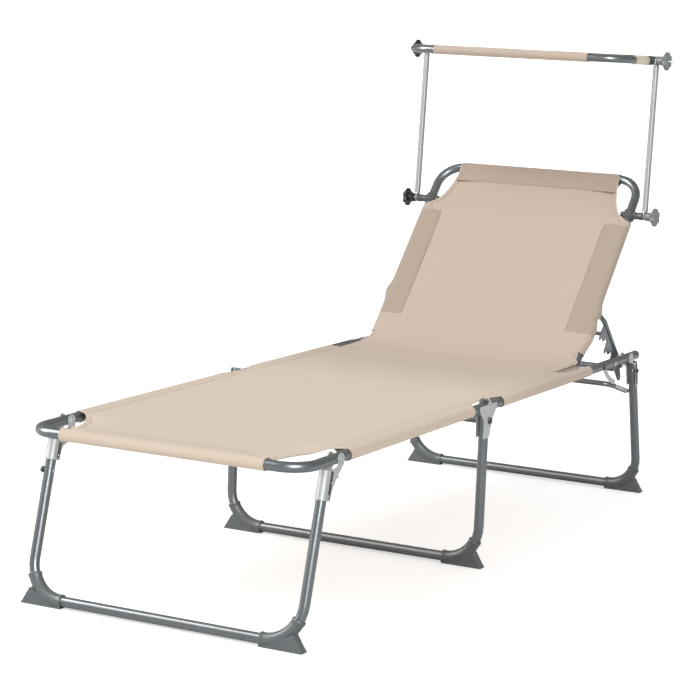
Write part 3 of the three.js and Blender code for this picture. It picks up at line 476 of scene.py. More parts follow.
def clothMaterial(name, look):
    # the weave, from the front colour to the darker rear colour by how far up the bed it is, times the doubled
    # colour inside the bands, times the hem's and the thread's lightness beside and on the stitch lines; all of
    # these are painted shade, but for the thread's own colour on its dashes; bump = weave - 1.4 x groove
    material, nodes, shader = newMaterial(name)
    weaveMap, seamMap, bandMap = (nodes.add("ShaderNodeUVMap", uv_map=layer).outputs[0]
                                  for layer in ("cloth", "seam", "band"))
    seam, band = (nodes.add("ShaderNodeSeparateXYZ", {0: layer}).outputs for layer in (seamMap, bandMap))
    front, rear = (*look["front"], 1.0), (*look["rear"], 1.0)
    # painted shade: the colour darkens from the front colour to the rear colour between these places up the bed,
    # over the seat's rear, the backrest and the canopy
    tone = nodes.spread(band[1], -0.48, -0.22)
    dark, light = (nodes.mix(tone, shade(front, by), shade(rear, by)) for by in (0.86, 1.14))
    weave = nodes.add("ShaderNodeGroup", {"Vector": weaveMap, "Thread": look["thread"], "Slub": look["slub"],
                                          "Dark": dark, "Light": light}, node_tree=weaveGroup).outputs
    stitch = nodes.add("ShaderNodeGroup", {"Across": seam[0], "Along": seam[1]},
                       node_tree=stitchGroup).outputs
    ragged = nodes.times(nodes.minus(nodes.noise(weaveMap, 120.0, 3.0), 0.5), 0.003)
    across, along = nodes.plus(band[0], ragged), nodes.plus(band[1], ragged)

    def past(value, edge):
        return nodes.spread(value, edge - 0.0008, edge + 0.0008)

    # painted shade: the doubled bands take a darker colour for less light coming through two layers of cloth
    side = nodes.times(past(across, bands["x"]), past(along, bands["low"]))
    side = nodes.times(side, nodes.minus(1.0, past(along, bands["high"])))
    doubledShade = nodes.math("MAXIMUM", side, nodes.times(past(along, bands["top"]), 0.6))
    # no seam shows in the loose cloth between the seat and the bands
    loose = nodes.times(past(band[1], -0.06), nodes.minus(1.0, past(band[1], bands["low"])))
    sewn = nodes.minus(1.0, loose)
    groove, thread = (nodes.times(stitch[key], sewn) for key in ("Groove", "Thread"))
    # painted shade: the hem beside the stitch lines is darkened the same way
    hem = nodes.times(nodes.spread(seam[0], 0.97, 1.0, 1.0, 0.0), nodes.minus(sewn, doubledShade))
    color = nodes.tint(doubledShade, weave["Color"], (*look["doubledShade"], 1.0))
    # painted shade in the stitch groove; the thread's dashes darken with the thread's own colour
    for factor, lightness in ((hem, "hemShade"), (nodes.times(groove, 0.5), "threadColorAndGrooveShade"),
                              (nodes.times(thread, 0.4), "threadColorAndGrooveShade")):
        color = nodes.tint(factor, color, shade((1, 1, 1), look[lightness]))
    height = nodes.minus(weave["Height"], nodes.times(groove, 1.4))
    bump = nodes.add("ShaderNodeBump", {"Height": height, "Strength": 0.35, "Distance": 0.0003})
    nodes.feed(shader, {"Base Color": color, "Normal": bump.outputs[0], "Roughness": 0.85,
                        "Specular IOR Level": 0.25, "Sheen Weight": 0.08})
    return material


def makeMaterials():
    looks = {
        "paintedTube": dict(color=(0.172, 0.188, 0.198), metallic=0.60, roughness=0.33, spread=0.03,
                            coat=0.20, drift=1.08, wear=0.06, bump=0.004),
        "zincPlate": dict(color=(0.56, 0.58, 0.58), metallic=0.15, roughness=0.48, spread=0.15, drift=0.86,
                          wearLight=0.7, wear=0.3, grain=420.0, bump=0.05),
        "drawnArm": dict(color=(0.38, 0.392, 0.40), metallic=0.30, roughness=0.42, spread=0.0, drift=0.97,
                         wear=0.02, wearLight=1.2, stretch=(1.0, 1.0, 0.3), grain=300.0, bump=0.005),
        "boltSteel": dict(color=(0.52, 0.54, 0.55), metallic=0.9, roughness=0.3, grain=600.0),
        "footPlastic": dict(color=(0.134, 0.150, 0.158), roughness=0.42, grain=1400.0, bump=0.25, drift=1.1),
        "jointPlastic": dict(color=(0.050, 0.056, 0.060), roughness=0.42, grain=1400.0, bump=0.25, drift=1.2),
        "clampPlastic": dict(color=(0.085, 0.095, 0.100), roughness=0.42, grain=1400.0, bump=0.25, drift=1.2),
        "knobGrey": dict(color=(0.205, 0.222, 0.226), roughness=0.42, grain=1200.0, bump=0.2, drift=1.1),
        "knobBlack": dict(color=(0.012, 0.013, 0.014), roughness=0.36, grain=1200.0, bump=0.2, drift=1.3),
        "creamSleeve": dict(color=(0.72, 0.67, 0.52), roughness=0.7, grain=1600.0, bump=0.3, drift=0.95),
        "hemCloth": dict(color=(0.74, 0.65, 0.55), roughness=0.85, grain=1500.0, bump=0.3, drift=1.1),
    }
    # painted shade: the rear colour is darker than the front one, for the shade on the seat's rear, the backrest
    # and the canopy; the doubled colour and the hem's lightness darken the doubled cloth, and the thread's
    # lightness also darkens the stitch groove
    woven = dict(thread=0.0014, slub=0.3, threadColorAndGrooveShade=0.74, hemShade=0.955, doubledShade=(0.80, 0.792, 0.765),
                 front=(0.724, 0.601, 0.484), rear=(0.600, 0.491, 0.404))
    finishes = {name: metalOrPlastic(name, look) for name, look in looks.items()}
    for name in ("seatCloth", "backCloth"):
        finishes[name] = clothMaterial(name, woven)
    return finishes


finish = makeMaterials()
nodeFinishes = {"tube": "paintedTube", "zinc": "zincPlate", "arm": "drawnArm", "foot": "footPlastic",
                "joint": "jointPlastic", "knob": "knobGrey", "dark_knob": "knobBlack", "bolt": "boltSteel",
                "cloth": "seatCloth", "back_cloth": "backCloth"}
for row in frame["record"]["subparts"]:
    data = frame["nodes"][row["node"]].data
    data.materials.clear()
    data.materials.append(finish[nodeFinishes[row["material_slot"]]])
print("materials made")

tubeFinish, zinc, plastic = finish["paintedTube"], finish["zincPlate"], finish["footPlastic"]
bed = dict(railX=0.293, railZ=0.332, tubeRadius=0.010, wall=0.0012, foldY=-0.009, barY=-0.753,
           bend=0.052, endY=0.792, sleeve=0.0114, seam=0.00015)
railX, railZ, tubeRadius = bed["railX"], bed["railZ"], bed["tubeRadius"]


# bed frame
def makeBedFrame():
    detail = dict(rivetY=0.654, plugY=0.588, hingeZ=0.3453, hingeRadius=0.003)
    low, high, ends = bed["foldY"] + bed["seam"], bed["endY"], bed["foldY"] - bed["seam"]
    rail = tube([(railX, low, railZ), (railX, high, railZ)], 0, tubeRadius, bed["wall"], (0, 0, 1))
    pair("seatRail", [rail], tubeFinish, bedPlace, "root", ["seat_rail"], "tube")
    rivet = turned(stepped([(0.0090, 0.0045)], 0.0102) + dome(0.0102, 0.0122, 0.0042),
                   (railX, detail["rivetY"], railZ - 0.001))
    pair("railRivet", [rivet], zinc, bedPlace, "root")
    plug = turned(stepped([(0.0088, 0.0068)], 0.0108) + dome(0.0108, 0.0122, 0.0060),
                  (railX, detail["plugY"], railZ))
    pair("railPlug", [plug], finish["jointPlastic"], bedPlace, "root")
    cap = [(high - 0.012, 0), (high - 0.012, 0.0085), (high, 0.0085), (high, 0.0101), (high + 0.0015, 0.0104),
           (high + 0.003, 0.0100)] + dome(high + 0.003, high + 0.0112, 0.0097, 8)
    pair("railEndCap", [turned(cap, (railX, 0, railZ), (0, 1, 0))], plastic, bedPlace, "root",
         ["rail_end_cap"], "foot")
    corners = [(-railX, ends, railZ), (-railX, bed["barY"], railZ), (railX, bed["barY"], railZ),
               (railX, ends, railZ)]
    footTube = tube(corners, bed["bend"], tubeRadius, bed["wall"], (0, 0, 1))
    knuckle = rod((railX - 0.0094, bed["foldY"], detail["hingeZ"]),
                  (railX - 0.0003, bed["foldY"], detail["hingeZ"]), detail["hingeRadius"])
    strap = plate([(ends - 0.012, 0.3395), (ends, 0.3395), (ends, 0.3453), (ends - 0.003, 0.3475)],
                  railX - 0.0088, railX - 0.0009)
    sides = [knuckle, strap, mirrored(knuckle), mirrored(strap)]
    piece("footFrame", [footTube] + sides, tubeFinish, bedPlace, "foot_section", ["foot_frame"], "tube")


def makeCrossTubes():
    rear = dict(y=0.700, z=0.3122, radius=0.0075, endX=0.278, press=0.010, tabX=0.3005, top=0.3217, tab=0.003)
    middle = dict(y=-0.0113, z=0.305, radius=0.008, endX=0.2808)
    straight = [rod((-t["endX"], t["y"], t["z"]), (t["endX"], t["y"], t["z"]), t["radius"], 24)
                for t in (rear, middle)]
    # the pressed end: the section goes from round to flat, and up under the rail
    t = np.append(smoothStep(np.linspace(0, 1, 12)), 1.0)
    x = np.append(rear["endX"] + np.linspace(0, 1, 12) * rear["press"], rear["tabX"])
    halfZ = rear["radius"] * (1 - t) + rear["tab"] / 2 * t
    midZ = rear["z"] * (1 - t) + (rear["top"] - rear["tab"] / 2) * t
    ring, wide = circle(1.0, 24), rear["radius"] * (1 + 0.15 * t)
    end = np.stack([x[:, None].repeat(24, 1), rear["y"] + wide[:, None] * ring[:, 0],
                    midZ[:, None] + halfZ[:, None] * ring[:, 1]], -1)
    pressed = grid(end, wrapColumns=True, capRows=True)
    rivet = turned([(0.3215, 0.003), (0.3423, 0.003), (0.3423, 0.006)] + dome(0.3423, 0.3450, 0.006),
                   (railX, rear["y"], 0), (0, 0, 1))
    piece("rearCrossTube", [straight[0], pressed, mirrored(pressed)], tubeFinish, bedPlace, "root",
          ["rear_cross_tube"], "tube", sharp=50)
    pair("crossTubeRivet", [rivet], zinc, bedPlace, "root")
    piece("middleCrossTube", [straight[1]], tubeFinish, bedPlace, "root", ["middle_cross_tube"], "tube")


# legs and feet
legs = {
    "front": dict(topY=-0.6639, footY=-0.7528, topZ=0.316, body="front_leg"),
    "middle": dict(topY=-0.0107, footY=-0.0175, topZ=0.315, body="middle_leg"),
    "rear": dict(topY=0.7747, footY=0.8468, topZ=0.316, body="rear_leg"),
}
legShape = dict(barZ=0.013, bend=0.072, sleeve=0.0126, topZ=0.056, run=0.006, lip=0.0008)


def legLine(leg, z):
    return leg["footY"] + (leg["topY"] - leg["footY"]) * z / railZ


def makeLeg(name, leg):
    barZ, bend, inside = legShape["barZ"], legShape["bend"], railX - legShape["bend"] - legShape["run"]
    top, foot = legLine(leg, leg["topZ"]), legLine(leg, barZ)
    corners = np.array([(-railX, top, leg["topZ"]), (-railX, foot, barZ),
                        (railX, foot, barZ), (railX, top, leg["topZ"])])
    up = unit(corners[3] - corners[2])
    normal = np.cross(up, [1, 0, 0])
    piece(name + "Leg", [tube(corners, bend, tubeRadius, bed["wall"], normal)], tubeFinish, bedPlace,
          leg["body"], [name + "_leg"], "tube")
    # the foot: a sleeve round the bend with a lip at each end
    corner = corners[2]
    sleeve = np.array([corner + up * (bend + 0.02), corner, corner - [bend + legShape["run"], 0, 0]])
    points, along = rounded(sleeve, bend, 26)
    run = lengthAlong(points)
    first = np.interp(-legShape["topZ"], -points[:, 2], run)
    lip = np.array([0, 0.0012, 0.0045, 0.006])
    stations = np.concatenate([first + lip, np.linspace(first + 0.012, run[-1] - 0.012, 22),
                               run[-1] - lip[::-1]])
    points, along = sampled(stations, run, points), unit(sampled(stations, run, along))
    edge = np.minimum(stations - first, run[-1] - stations)
    radius = legShape["sleeve"] + legShape["lip"] * (1 - smoothStep((edge - 0.0045) / 0.0015))
    radius = radius - 0.0007 * (edge < 1e-6)
    outer = carried(radius[:, None, None] * circle(1.0), points, along, normal)
    inner = carried(circle(tubeRadius + 0.0003), points, along, normal)
    shell = grid(np.concatenate([outer, inner[::-1]]), wrapRows=True, wrapColumns=True)
    # the fin: a flat moulded triangle under the bend with rounded corners, on a thicker sole
    tip = railX + 0.013
    fin = outlined([(inside, 0.0), (tip, 0.0), (tip - 0.0030, 0.0045), (railX - 0.0080, 0.034),
                    (railX - 0.020, 0.026), (railX - 0.034, 0.020), (inside, 0.0115)],
                   [0.001, 0.001, 0.002, 0.004, 0.004, 0.01, 0.002])
    sole = outlined([(inside + 0.001, 0.0), (tip, 0.0), (tip - 0.0022, 0.0034), (inside + 0.001, 0.0034)],
                    [0.0005, 0.0008, 0.0008, 0.0005], 4)
    pair(name + "Foot", [shell], plastic, bedPlace, leg["body"], [name + "_foot"], "foot")
    for label, outline, half, bevel in (("FootFin", fin, 0.0092, 0.0005), ("FootSole", sole, 0.0100, 0.0006)):
        pair(name + label, [plate(outline, foot - half, foot + half, axis=1)], plastic, bedPlace, leg["body"],
             (), "foot", bevel=bevel)


def makeLegBracket(name, leg, pivotY, direction, body):
    # a channel round the leg top, an outer cheek with a rounded ear on the rail, and an inner strap
    sheet, gap, low, high, pinHead, earHalf = 0.0016, 0.0003, 0.264, 0.317, 0.0068, 0.0115
    cheekOut, cheekIn = railX + tubeRadius + gap, railX - tubeRadius - gap
    face, inside = cheekOut + sheet, cheekIn - sheet

    def edge(z, away):
        return legLine(leg, z) + direction * away, z

    def ear(y, z):
        return pivotY + direction * y * earHalf, railZ + z * earHalf

    ends = np.array([(railX, legLine(leg, low), low), (railX, legLine(leg, high), high)])
    along = unit(ends[1] - ends[0])
    turn = np.linspace(0, np.pi, 22)
    arc = np.stack([np.cos(turn), np.sin(turn)], -1)
    inner = tubeRadius + gap
    outer = inner + sheet
    channel = np.concatenate([[(outer, -inner)], outer * arc, [(-outer, -inner), (-inner, -inner)],
                              (inner * arc)[::-1], [(inner, -inner)]])
    ahead = np.array([0, -direction, 0.0])
    forward = unit(ahead - along * (ahead @ along))
    stations = ends[0] + np.outer([0.0, 0.0030, 0.0045, np.linalg.norm(ends[1] - ends[0])], along)
    flare = np.array([1.05, 1.05, 1.0, 1.0])[:, None, None]
    collar = grid(stations[:, None] + flare * channel[:, :1] * np.array([1.0, 0, 0])
                  + flare * channel[:, 1:] * forward, wrapColumns=True, capRows=True)
    webs = {"front": ([edge(0.303, 0.0270), edge(0.281, 0.0150)], [0.016, 0.014],
                      [(pivotY + direction * 0.0040, 0.2965), edge(0.2870, 0.0150), edge(0.2665, 0.0105),
                       edge(low, 0.0105), edge(low, 0)], [0.004, 0.008, 0.004, 0.0002, 0.0002]),
            "rear": ([edge(0.3170, 0.0190), edge(0.3060, 0.0115)], [0.002, 0.010],
                     [edge(high - tubeRadius, 0.0103), edge(high - tubeRadius, 0.0050),
                      edge(high - tubeRadius, 0)], [0.001, 0.001, 0.0002])}
    outerWeb, outerRadii, innerWeb, innerRadii = webs[name]
    cheek = outlined([ear(-1, 1), ear(1, 1), ear(1, -0.8), *outerWeb, edge(low, 0.0115), edge(low, 0.0),
                      edge(high, 0.0), ear(-1, -1)],
                     [0.0113, 0.0113, 0.008, *outerRadii, 0.003, 0.0002, 0.0002, 0.004], 8)
    strap = outlined([ear(-1, 1), ear(1, 1), ear(1, -0.9), *innerWeb, edge(high, 0), ear(-1, -1)],
                     [0.0113, 0.0113, 0.004, *innerRadii, 0.0002, 0.004], 8)
    pair(name + "Bracket", [collar], zinc, bedPlace, leg["body"], [name + "_bracket"], "zinc", bevel=0.0004)
    pair(name + "BracketCheek", [plate(cheek, cheekOut, face), plate(strap, inside, cheekIn)], zinc, bedPlace,
         leg["body"], (), "zinc", bevel=0.0004)
    spots = [(*edge(0.294, 0.0105), 0.0028), (*edge(0.272, 0.0030), 0.0028),
             (pivotY - direction * 0.012, 0.302, 0.0030)]
    pair(name + "BracketRivets", rivetHeads(face, 0.0016, spots), zinc, bedPlace, leg["body"])
    if name == "front":
        # three small studs on the inner web, and the left leg's own bolt below its collar
        studs = [turned([(inside + 0.0008, 0)] + dome(inside, inside - 0.0012, 0.0022), (0, *at))
                 for at in (edge(0.2974, 0.0050), (pivotY - direction * 0.0070, 0.2990),
                            edge(0.2723, 0.0050))]
        pair("frontBracketStuds", studs, finish["boltSteel"], bedPlace, leg["body"])
        boltZ, out, within = 0.244, -(railX + tubeRadius), -railX + tubeRadius
        centre = (0, legLine(leg, boltZ), boltZ)
        head = turned(stepped([(out + 0.0006, 0.0035), (out - 0.0015, 0.0062)], out - 0.0068)
                      + dome(out - 0.0068, out - 0.0080, 0.0052), centre)
        stud = turned([(within - 0.0006, 0), (within - 0.0006, 0.0030)]
                      + dome(within + 0.0006, within + 0.0022, 0.0030), centre)
        piece("frontLegBolt", [head], finish["jointPlastic"], bedPlace, leg["body"])
        piece("frontLegRivet", [stud], zinc, bedPlace, leg["body"])
    else:
        bolt = turned(stepped([(face - 0.0010, 0.0050)], face + 0.0048)
                      + dome(face + 0.0048, face + 0.0062, 0.0042), (0, 0.7745, 0.2985))
        pair("rearBracketBolt", [bolt], finish["jointPlastic"], bedPlace, leg["body"])
    start, seat = inside - gap, face + gap
    pin = turned([(start - 0.0022, 0), (start - 0.0022, 0.005), (start, pinHead), (start, 0.004),
                  (seat, 0.004), (seat, pinHead), (seat + 0.0008, pinHead)]
                 + dome(seat + 0.0008, seat + 0.0024, pinHead - 0.0006), (0, pivotY, railZ))
    pair(name + "PivotPin", [pin], zinc, bedPlace, body, [name + "_pivot_pin"], "zinc")


def makeMiddleBracket():
    sheet, face, inner = 0.0016, railX + tubeRadius + 0.0003, railX - tubeRadius - 0.0003
    pivot, foldY, foldZ, floorZ = (-0.0113, 0.305), bed["foldY"], 0.3453, 0.3201
    outline = outlined(
        [(-0.0375, 0.270), (-0.0095, 0.270), (-0.0035, 0.288), (0.0035, 0.305), (0.0125, 0.3170),
         (0.0230, 0.3290), (0.0230, 0.3385), (foldY + 0.006, 0.3385), (foldY + 0.0035, 0.3478),
         (foldY - 0.0035, 0.3478), (foldY - 0.006, 0.3385), (-0.0540, 0.3385), (-0.0540, 0.3260),
         (-0.0390, 0.3130), (-0.0350, 0.300)],
        [0.004, 0.004, 0.004, 0.006, 0.008, 0.004, 0.003, 0.001, 0.003, 0.003, 0.001, 0.003, 0.004,
         0.008, 0.006])
    cheek = plate(outline, face, face + sheet)
    floor = plate([(-0.0403, floorZ), (0.0150, floorZ), (0.0150, 0.3217), (-0.0403, 0.3217)],
                  inner - sheet, face + 0.0003)
    stem = outlined([(-0.0243, 0.270), (0.0017, 0.270), (0.0017, 0.3217), (-0.0243, 0.3217)],
                    [0.003, 0.003, 0, 0], 4)
    strap = plate(stem, inner - sheet, inner)
    knuckle = rod((railX + 0.0003, foldY, foldZ), (face + sheet, foldY, foldZ), 0.003)
    pair("middleBracket", [cheek, floor, strap], zinc, bedPlace, "root", ["middle_bracket"], "zinc",
         bevel=0.0004)
    pair("middleBracketKnuckle", [knuckle], tubeFinish, bedPlace, "root")
    outer = face + sheet
    spots = [(-0.0215, 0.2785, 0.0028), (0.006, 0.3285, 0.0028), (-0.036, 0.3285, 0.0028)]
    pair("middleBracketRivets", rivetHeads(outer, 0.0015, spots), zinc, bedPlace, "root")
    start, seat = inner - 0.020, outer + 0.0003
    bolt = turned(stepped([(start, 0.004), (seat, 0.0070)], seat + 0.0030)
                  + dome(seat + 0.0030, seat + 0.0052, 0.0062), (0, *pivot))
    pair("middleBolt", [bolt], finish["jointPlastic"], bedPlace, "root", ["middle_bolt"], "joint")


# rear leg toggle
def makeRearStay():
    stay = dict(x=0.274, radius=0.006, bend=0.022, linkHalf=0.0060, stripHalf=0.0042)
    pivot, knee, link = np.array([0.793, 0.246]), np.array([0.6974, 0.2816]), np.array([0.632, railZ])
    lower = np.array([knee[0], knee[1] - 0.007])
    corners = [(-stay["x"], *pivot), (-stay["x"], *lower), (stay["x"], *lower), (stay["x"], *pivot)]
    up = unit(np.array([0, *(pivot - lower)]))
    far = unit(pivot - lower)
    body = tube(corners, stay["bend"], stay["radius"], 0.0012, np.cross([1, 0, 0], up))
    behind = pivot - far * 0.006
    pin = rod((stay["x"] - 0.003, *behind), (0.2854, *behind), 0.003)
    piece("rearStay", [body, pin, mirrored(pin)], tubeFinish, bedPlace, "rear_stay", ["rear_stay"], "tube")
    # a strap whose middle line is a quadratic curve from the rail to the knee, bowed to the front
    t = np.linspace(0, 1, 14)[:, None]
    bow = (link + knee) / 2 + np.array([-0.010, -0.012])
    middle = (1 - t) ** 2 * link + 2 * t * (1 - t) * bow + t ** 2 * knee
    aside = unit(np.gradient(middle, axis=0))[:, ::-1] * [-1, 1] * stay["linkHalf"]
    onward = aside[:, ::-1] * [1, -1]
    turn = np.linspace(-np.pi / 2, np.pi / 2, 10)[1:-1, None]

    def cap(at, side, ahead):
        return at + side * -np.sin(turn) + ahead * np.cos(turn)

    outline = np.concatenate([middle + aside, cap(middle[-1], aside[-1], onward[-1]), (middle - aside)[::-1],
                              cap(middle[0], -aside[0], -onward[0])])
    face = railX - tubeRadius - 0.0003
    across = np.array([-far[1], far[0]]) * stay["stripHalf"]
    start, stop = lower + far * 0.020, pivot + far * 0.003
    strip = plate([start - across, stop - across, stop + across, start + across],
                  stay["x"] + 0.0057, stay["x"] + 0.0073)
    pair("stayStrip", [strip], zinc, bedPlace, "rear_stay", bevel=0.0004)
    pair("stayLink", [plate(outline, face - 0.002, face)], zinc, bedPlace, "stay_links", ["stay_link"],
         "zinc", bevel=0.0005)
    rivets = [turned([(face - 0.0045, 0)] + dome(face - 0.0020, face - 0.0042, 0.0040)
                     + [(face, 0.003), (face, 0)], (0, *link)),
              turned([(face - 0.0052, 0), (face - 0.0052, 0.0035), (face, 0.0035), (face, 0.005),
                      (face + 0.0012, 0.0046), (face + 0.0018, 0)], (0, *knee))]
    pair("stayLinkRivets", rivets, zinc, bedPlace, "stay_links")


# backrest
back = dict(x=0.254, length=0.524, bend=0.054, tail=0.011, sleeve=0.0114, strutU=0.152, clampU=0.425)


def rivetedPin(head, near, far):
    # a rivet head inside the backrest's tube, a thin shank through it and a spacer on its far side
    return [(head - 0.0024, 0), (head - 0.0024, 0.005), (head - 0.0004, 0.0065), (head, 0.004), (near, 0.004),
            (near, 0.0065), (far, 0.0065), (far, 0.004)]


def makeBackFrame():
    x, low, high = back["x"], -back["tail"], back["length"]
    body = tube([(-x, low, 0), (-x, high, 0), (x, high, 0), (x, low, 0)], back["bend"], tubeRadius,
                bed["wall"], (0, 0, 1))
    piece("backFrame", [body], tubeFinish, backPlace, "backrest", ["back_frame"], "tube")
    profile = rivetedPin(x - tubeRadius - 0.0003, x + tubeRadius + 0.0003, railX - tubeRadius - 0.0003)
    pin = turned(profile + [(0.2854, 0.004), (0.2854, 0)], (0, 0, 0))
    pair("backPivotPin", [pin], zinc, backPlace, "root", ["back_pivot_pin"], "zinc")


def makeStruts():
    strut = dict(x=0.272, radius=0.0059, length=0.188, head=0.009, half=0.0015, notch=0.0081, pitch=0.0464,
                 tabX=0.2668, tabHalf=0.0019, tabWide=0.0080, eye=(0.200, -0.021), eyeRadius=0.009,
                 tie=(0.050, -0.019), tieRadius=0.0045, tieX=0.2735)
    c, s = math.cos(strutPlace[0]), math.sin(strutPlace[0])
    # the notches sit on the rear cross tube, each a pitch further along the strut
    toCatch = np.array([0.700, 0.3122]) - (strutPlace[1][1:] - bedOrigin[1:])
    depth, last = toCatch[0] * s - toCatch[1] * c, toCatch[0] * c + toCatch[1] * s
    places = last - strut["pitch"] * np.array([2, 1, 0])
    turn = np.linspace(np.pi, np.pi / 4, 10)
    cup = strut["notch"] * np.stack([np.cos(turn), np.sin(turn)], -1)
    before = [(-0.0066, -0.0028), (-0.0045, -0.0045), (-0.0018, -0.0038)]
    after = [(0.0030, 0.0120), (0.0060, 0.0200), (0.0110, 0.0235), (0.0160, 0.0215), (0.0190, 0.0120),
             (0.0205, 0.0020)]
    edge = [[(0.034, -0.005), (0.0345, -0.026), (0.0355, -0.036), (0.0366, -0.0405)]]
    for number, place in enumerate(places):
        low, high = place - strut["notch"], place + strut["notch"]
        edge += [[(low + v, -depth + n) for v, n in before], (cup + [place, -depth]).tolist()]
        if number < 2:
            edge += [[(high + v, -depth + n) for v, n in after]]
    eye, turnEye = np.array(strut["eye"]), np.linspace(-np.pi / 2, np.pi / 2, 14)
    edge += [[(places[2] + strut["notch"] + 0.005, -0.028)],
             (eye + strut["eyeRadius"] * np.stack([np.cos(turnEye), np.sin(turnEye)], -1)).tolist(),
             [(strut["length"] - 0.005, -0.005)]]
    outline = np.concatenate([np.array(group, float) for group in edge])
    notched = plate(outline, strut["x"] - strut["half"], strut["x"] + strut["half"],
                    holes=[disc(*eye, 0.004)[::-1], disc(*strut["tie"], 0.0049)[::-1]])
    # the tube's head is pressed to a tab against the backrest: the section eases from a flat oval to a circle
    v = np.concatenate([-strut["head"] * np.cos(np.linspace(0, np.pi / 2, 7)), np.linspace(0.004, 0.040, 12),
                        [strut["length"]]])
    share = smoothStep((v - 0.010) / 0.024)
    tip = np.sqrt(np.clip(1 - np.clip(-v / strut["head"], 0, 1) ** 2, 0, 1))
    halfX = strut["tabHalf"] * (1 - share) + strut["radius"] * share
    halfN = (strut["tabWide"] * (1 - share) + strut["radius"] * share) * np.where(v < 0, tip, 1.0)
    centreX = strut["tabX"] * (1 - share) + strut["x"] * share
    ring = circle(1.0)
    body = gridPoints(centreX[:, None] + halfX[:, None] * ring[:, 0], v[:, None], halfN[:, None] * ring[:, 1])
    pair("strut", [grid(body, wrapColumns=True, capRows=True)], tubeFinish, strutPlace, "struts", ["strut"],
         "tube")
    pair("strutPlate", [notched], tubeFinish, strutPlace, "struts", (), "tube", bevel=0.0004)
    tie = rod((-strut["tieX"], *strut["tie"]), (strut["tieX"], *strut["tie"]), strut["tieRadius"], 20)
    piece("strutTieRod", [tie], tubeFinish, strutPlace, "struts", ["strut_tie_rod"], "tube")
    clear = strut["tabHalf"] + 0.0002
    near, far, end = back["x"] + tubeRadius + 0.0001, strut["tabX"] - clear, strut["tabX"] + clear
    profile = rivetedPin(back["x"] - tubeRadius - 0.0003, near, far)
    pin = turned(profile + [(end, 0.004), (end, 0.0065), (end + 0.0012, 0.0050), (end + 0.0012, 0)],
                 (0, back["strutU"], 0))
    pair("strutPin", [pin], zinc, backPlace, "backrest", ["strut_pin"], "zinc")


# canopy
canopy = dict(armX=0.292, length=0.355, radius=0.0067, tabHalf=0.002, tabRadius=0.008, hoopX=0.272,
              hoopHalf=0.155, hoopBend=0.062, hoopRadius=0.0085, sleeve=0.0099, boltTip=0.332)


def makeArm():
    # the section goes from a flat tab with a round end to a round tube and back
    length, radius = canopy["length"], canopy["radius"]
    z = np.concatenate([-0.008 * np.cos(np.linspace(0, np.pi / 2, 7)),
                        [0.006, 0.0075, 0.009, 0.0105, 0.012, 0.0135, 0.016, 0.036]])
    z = np.concatenate([z, length - z[::-1]])
    inner = np.minimum(z, length - z)
    t = smoothStep((inner - 0.0075) / 0.006)
    endShape = np.sqrt(np.clip(1 - np.clip(-inner / 0.008, 0, 1) ** 2, 0, 1))
    halfY = (canopy["tabRadius"] * (1 - t) + radius * t) * np.where(inner < 0, endShape, 1.0)
    halfX = canopy["tabHalf"] * (1 - t) + radius * t
    # a power below 1 squares the circle's sine and cosine off towards the tab
    turn, t = np.arange(28) * 2 * np.pi / 28, t[:, None]
    ringX = np.sign(np.cos(turn)) * np.abs(np.cos(turn)) ** ((1 - t) * 0.45 + t)
    ringY = np.sign(np.sin(turn)) * np.abs(np.sin(turn)) ** (0.5 + 0.5 * t)
    points = gridPoints(canopy["armX"] + halfX[:, None] * ringX, halfY[:, None] * ringY, z[:, None])
    pair("canopyArm", [grid(points, wrapColumns=True, capRows=True)], finish["drawnArm"], armPlace,
         "canopy_arms", ["canopy_arm"], "arm", sharp=50)
    rivet = turned([(0.0050, 0)] + dome(0.0055, 0.0072, 0.0024), (canopy["armX"], 0, 0.0925))
    piece("armRivet", [rivet], zinc, armPlace, "canopy_arms")


def makeHoop():
    x, half = canopy["hoopX"], canopy["hoopHalf"]
    corners = [(0.0003, half, 0), (x, half, 0), (x, -half, 0), (-x, -half, 0), (-x, half, 0),
               (-0.0003, half, 0)]
    body = tube(corners, canopy["hoopBend"], canopy["hoopRadius"], 0.001, (0, 0, 1))
    piece("canopyHoop", [body], tubeFinish, hoopPlace, "canopy", ["canopy_hoop"], "arm")
    ring = [(-0.013, 0), (-0.013, 0.0095), (-0.012, 0.0106), (-0.0095, 0.0106), (-0.0085, 0.0099),
            (0.0085, 0.0099), (0.0095, 0.0106), (0.012, 0.0106), (0.013, 0.0095), (0.013, 0)]
    boss = [(x, 0), (x, 0.0082), (x + 0.0110, 0.0082), (x + 0.0118, 0.0090), (x + 0.0162, 0.0090),
            (x + 0.0175, 0.0078), (x + 0.0175, 0)]
    pair("hoopJoint", [turned(ring, (x, 0, 0), (0, 1, 0)), turned(boss, (0, 0, 0))], finish["jointPlastic"],
         hoopPlace, "canopy", ["hoop_joint"], "joint")
    # a short pale sleeve between the bend and the joint
    cuff = [(-0.091, 0.0086), (-0.091, 0.0098), (-0.0895, 0.0106), (-0.050, 0.0104), (-0.020, 0.0106),
            (-0.0185, 0.0098), (-0.0185, 0.0086)]
    piece("hoopCuff", [turned(cuff, (x, 0, 0), (0, 1, 0))], finish["creamSleeve"], hoopPlace, "canopy")


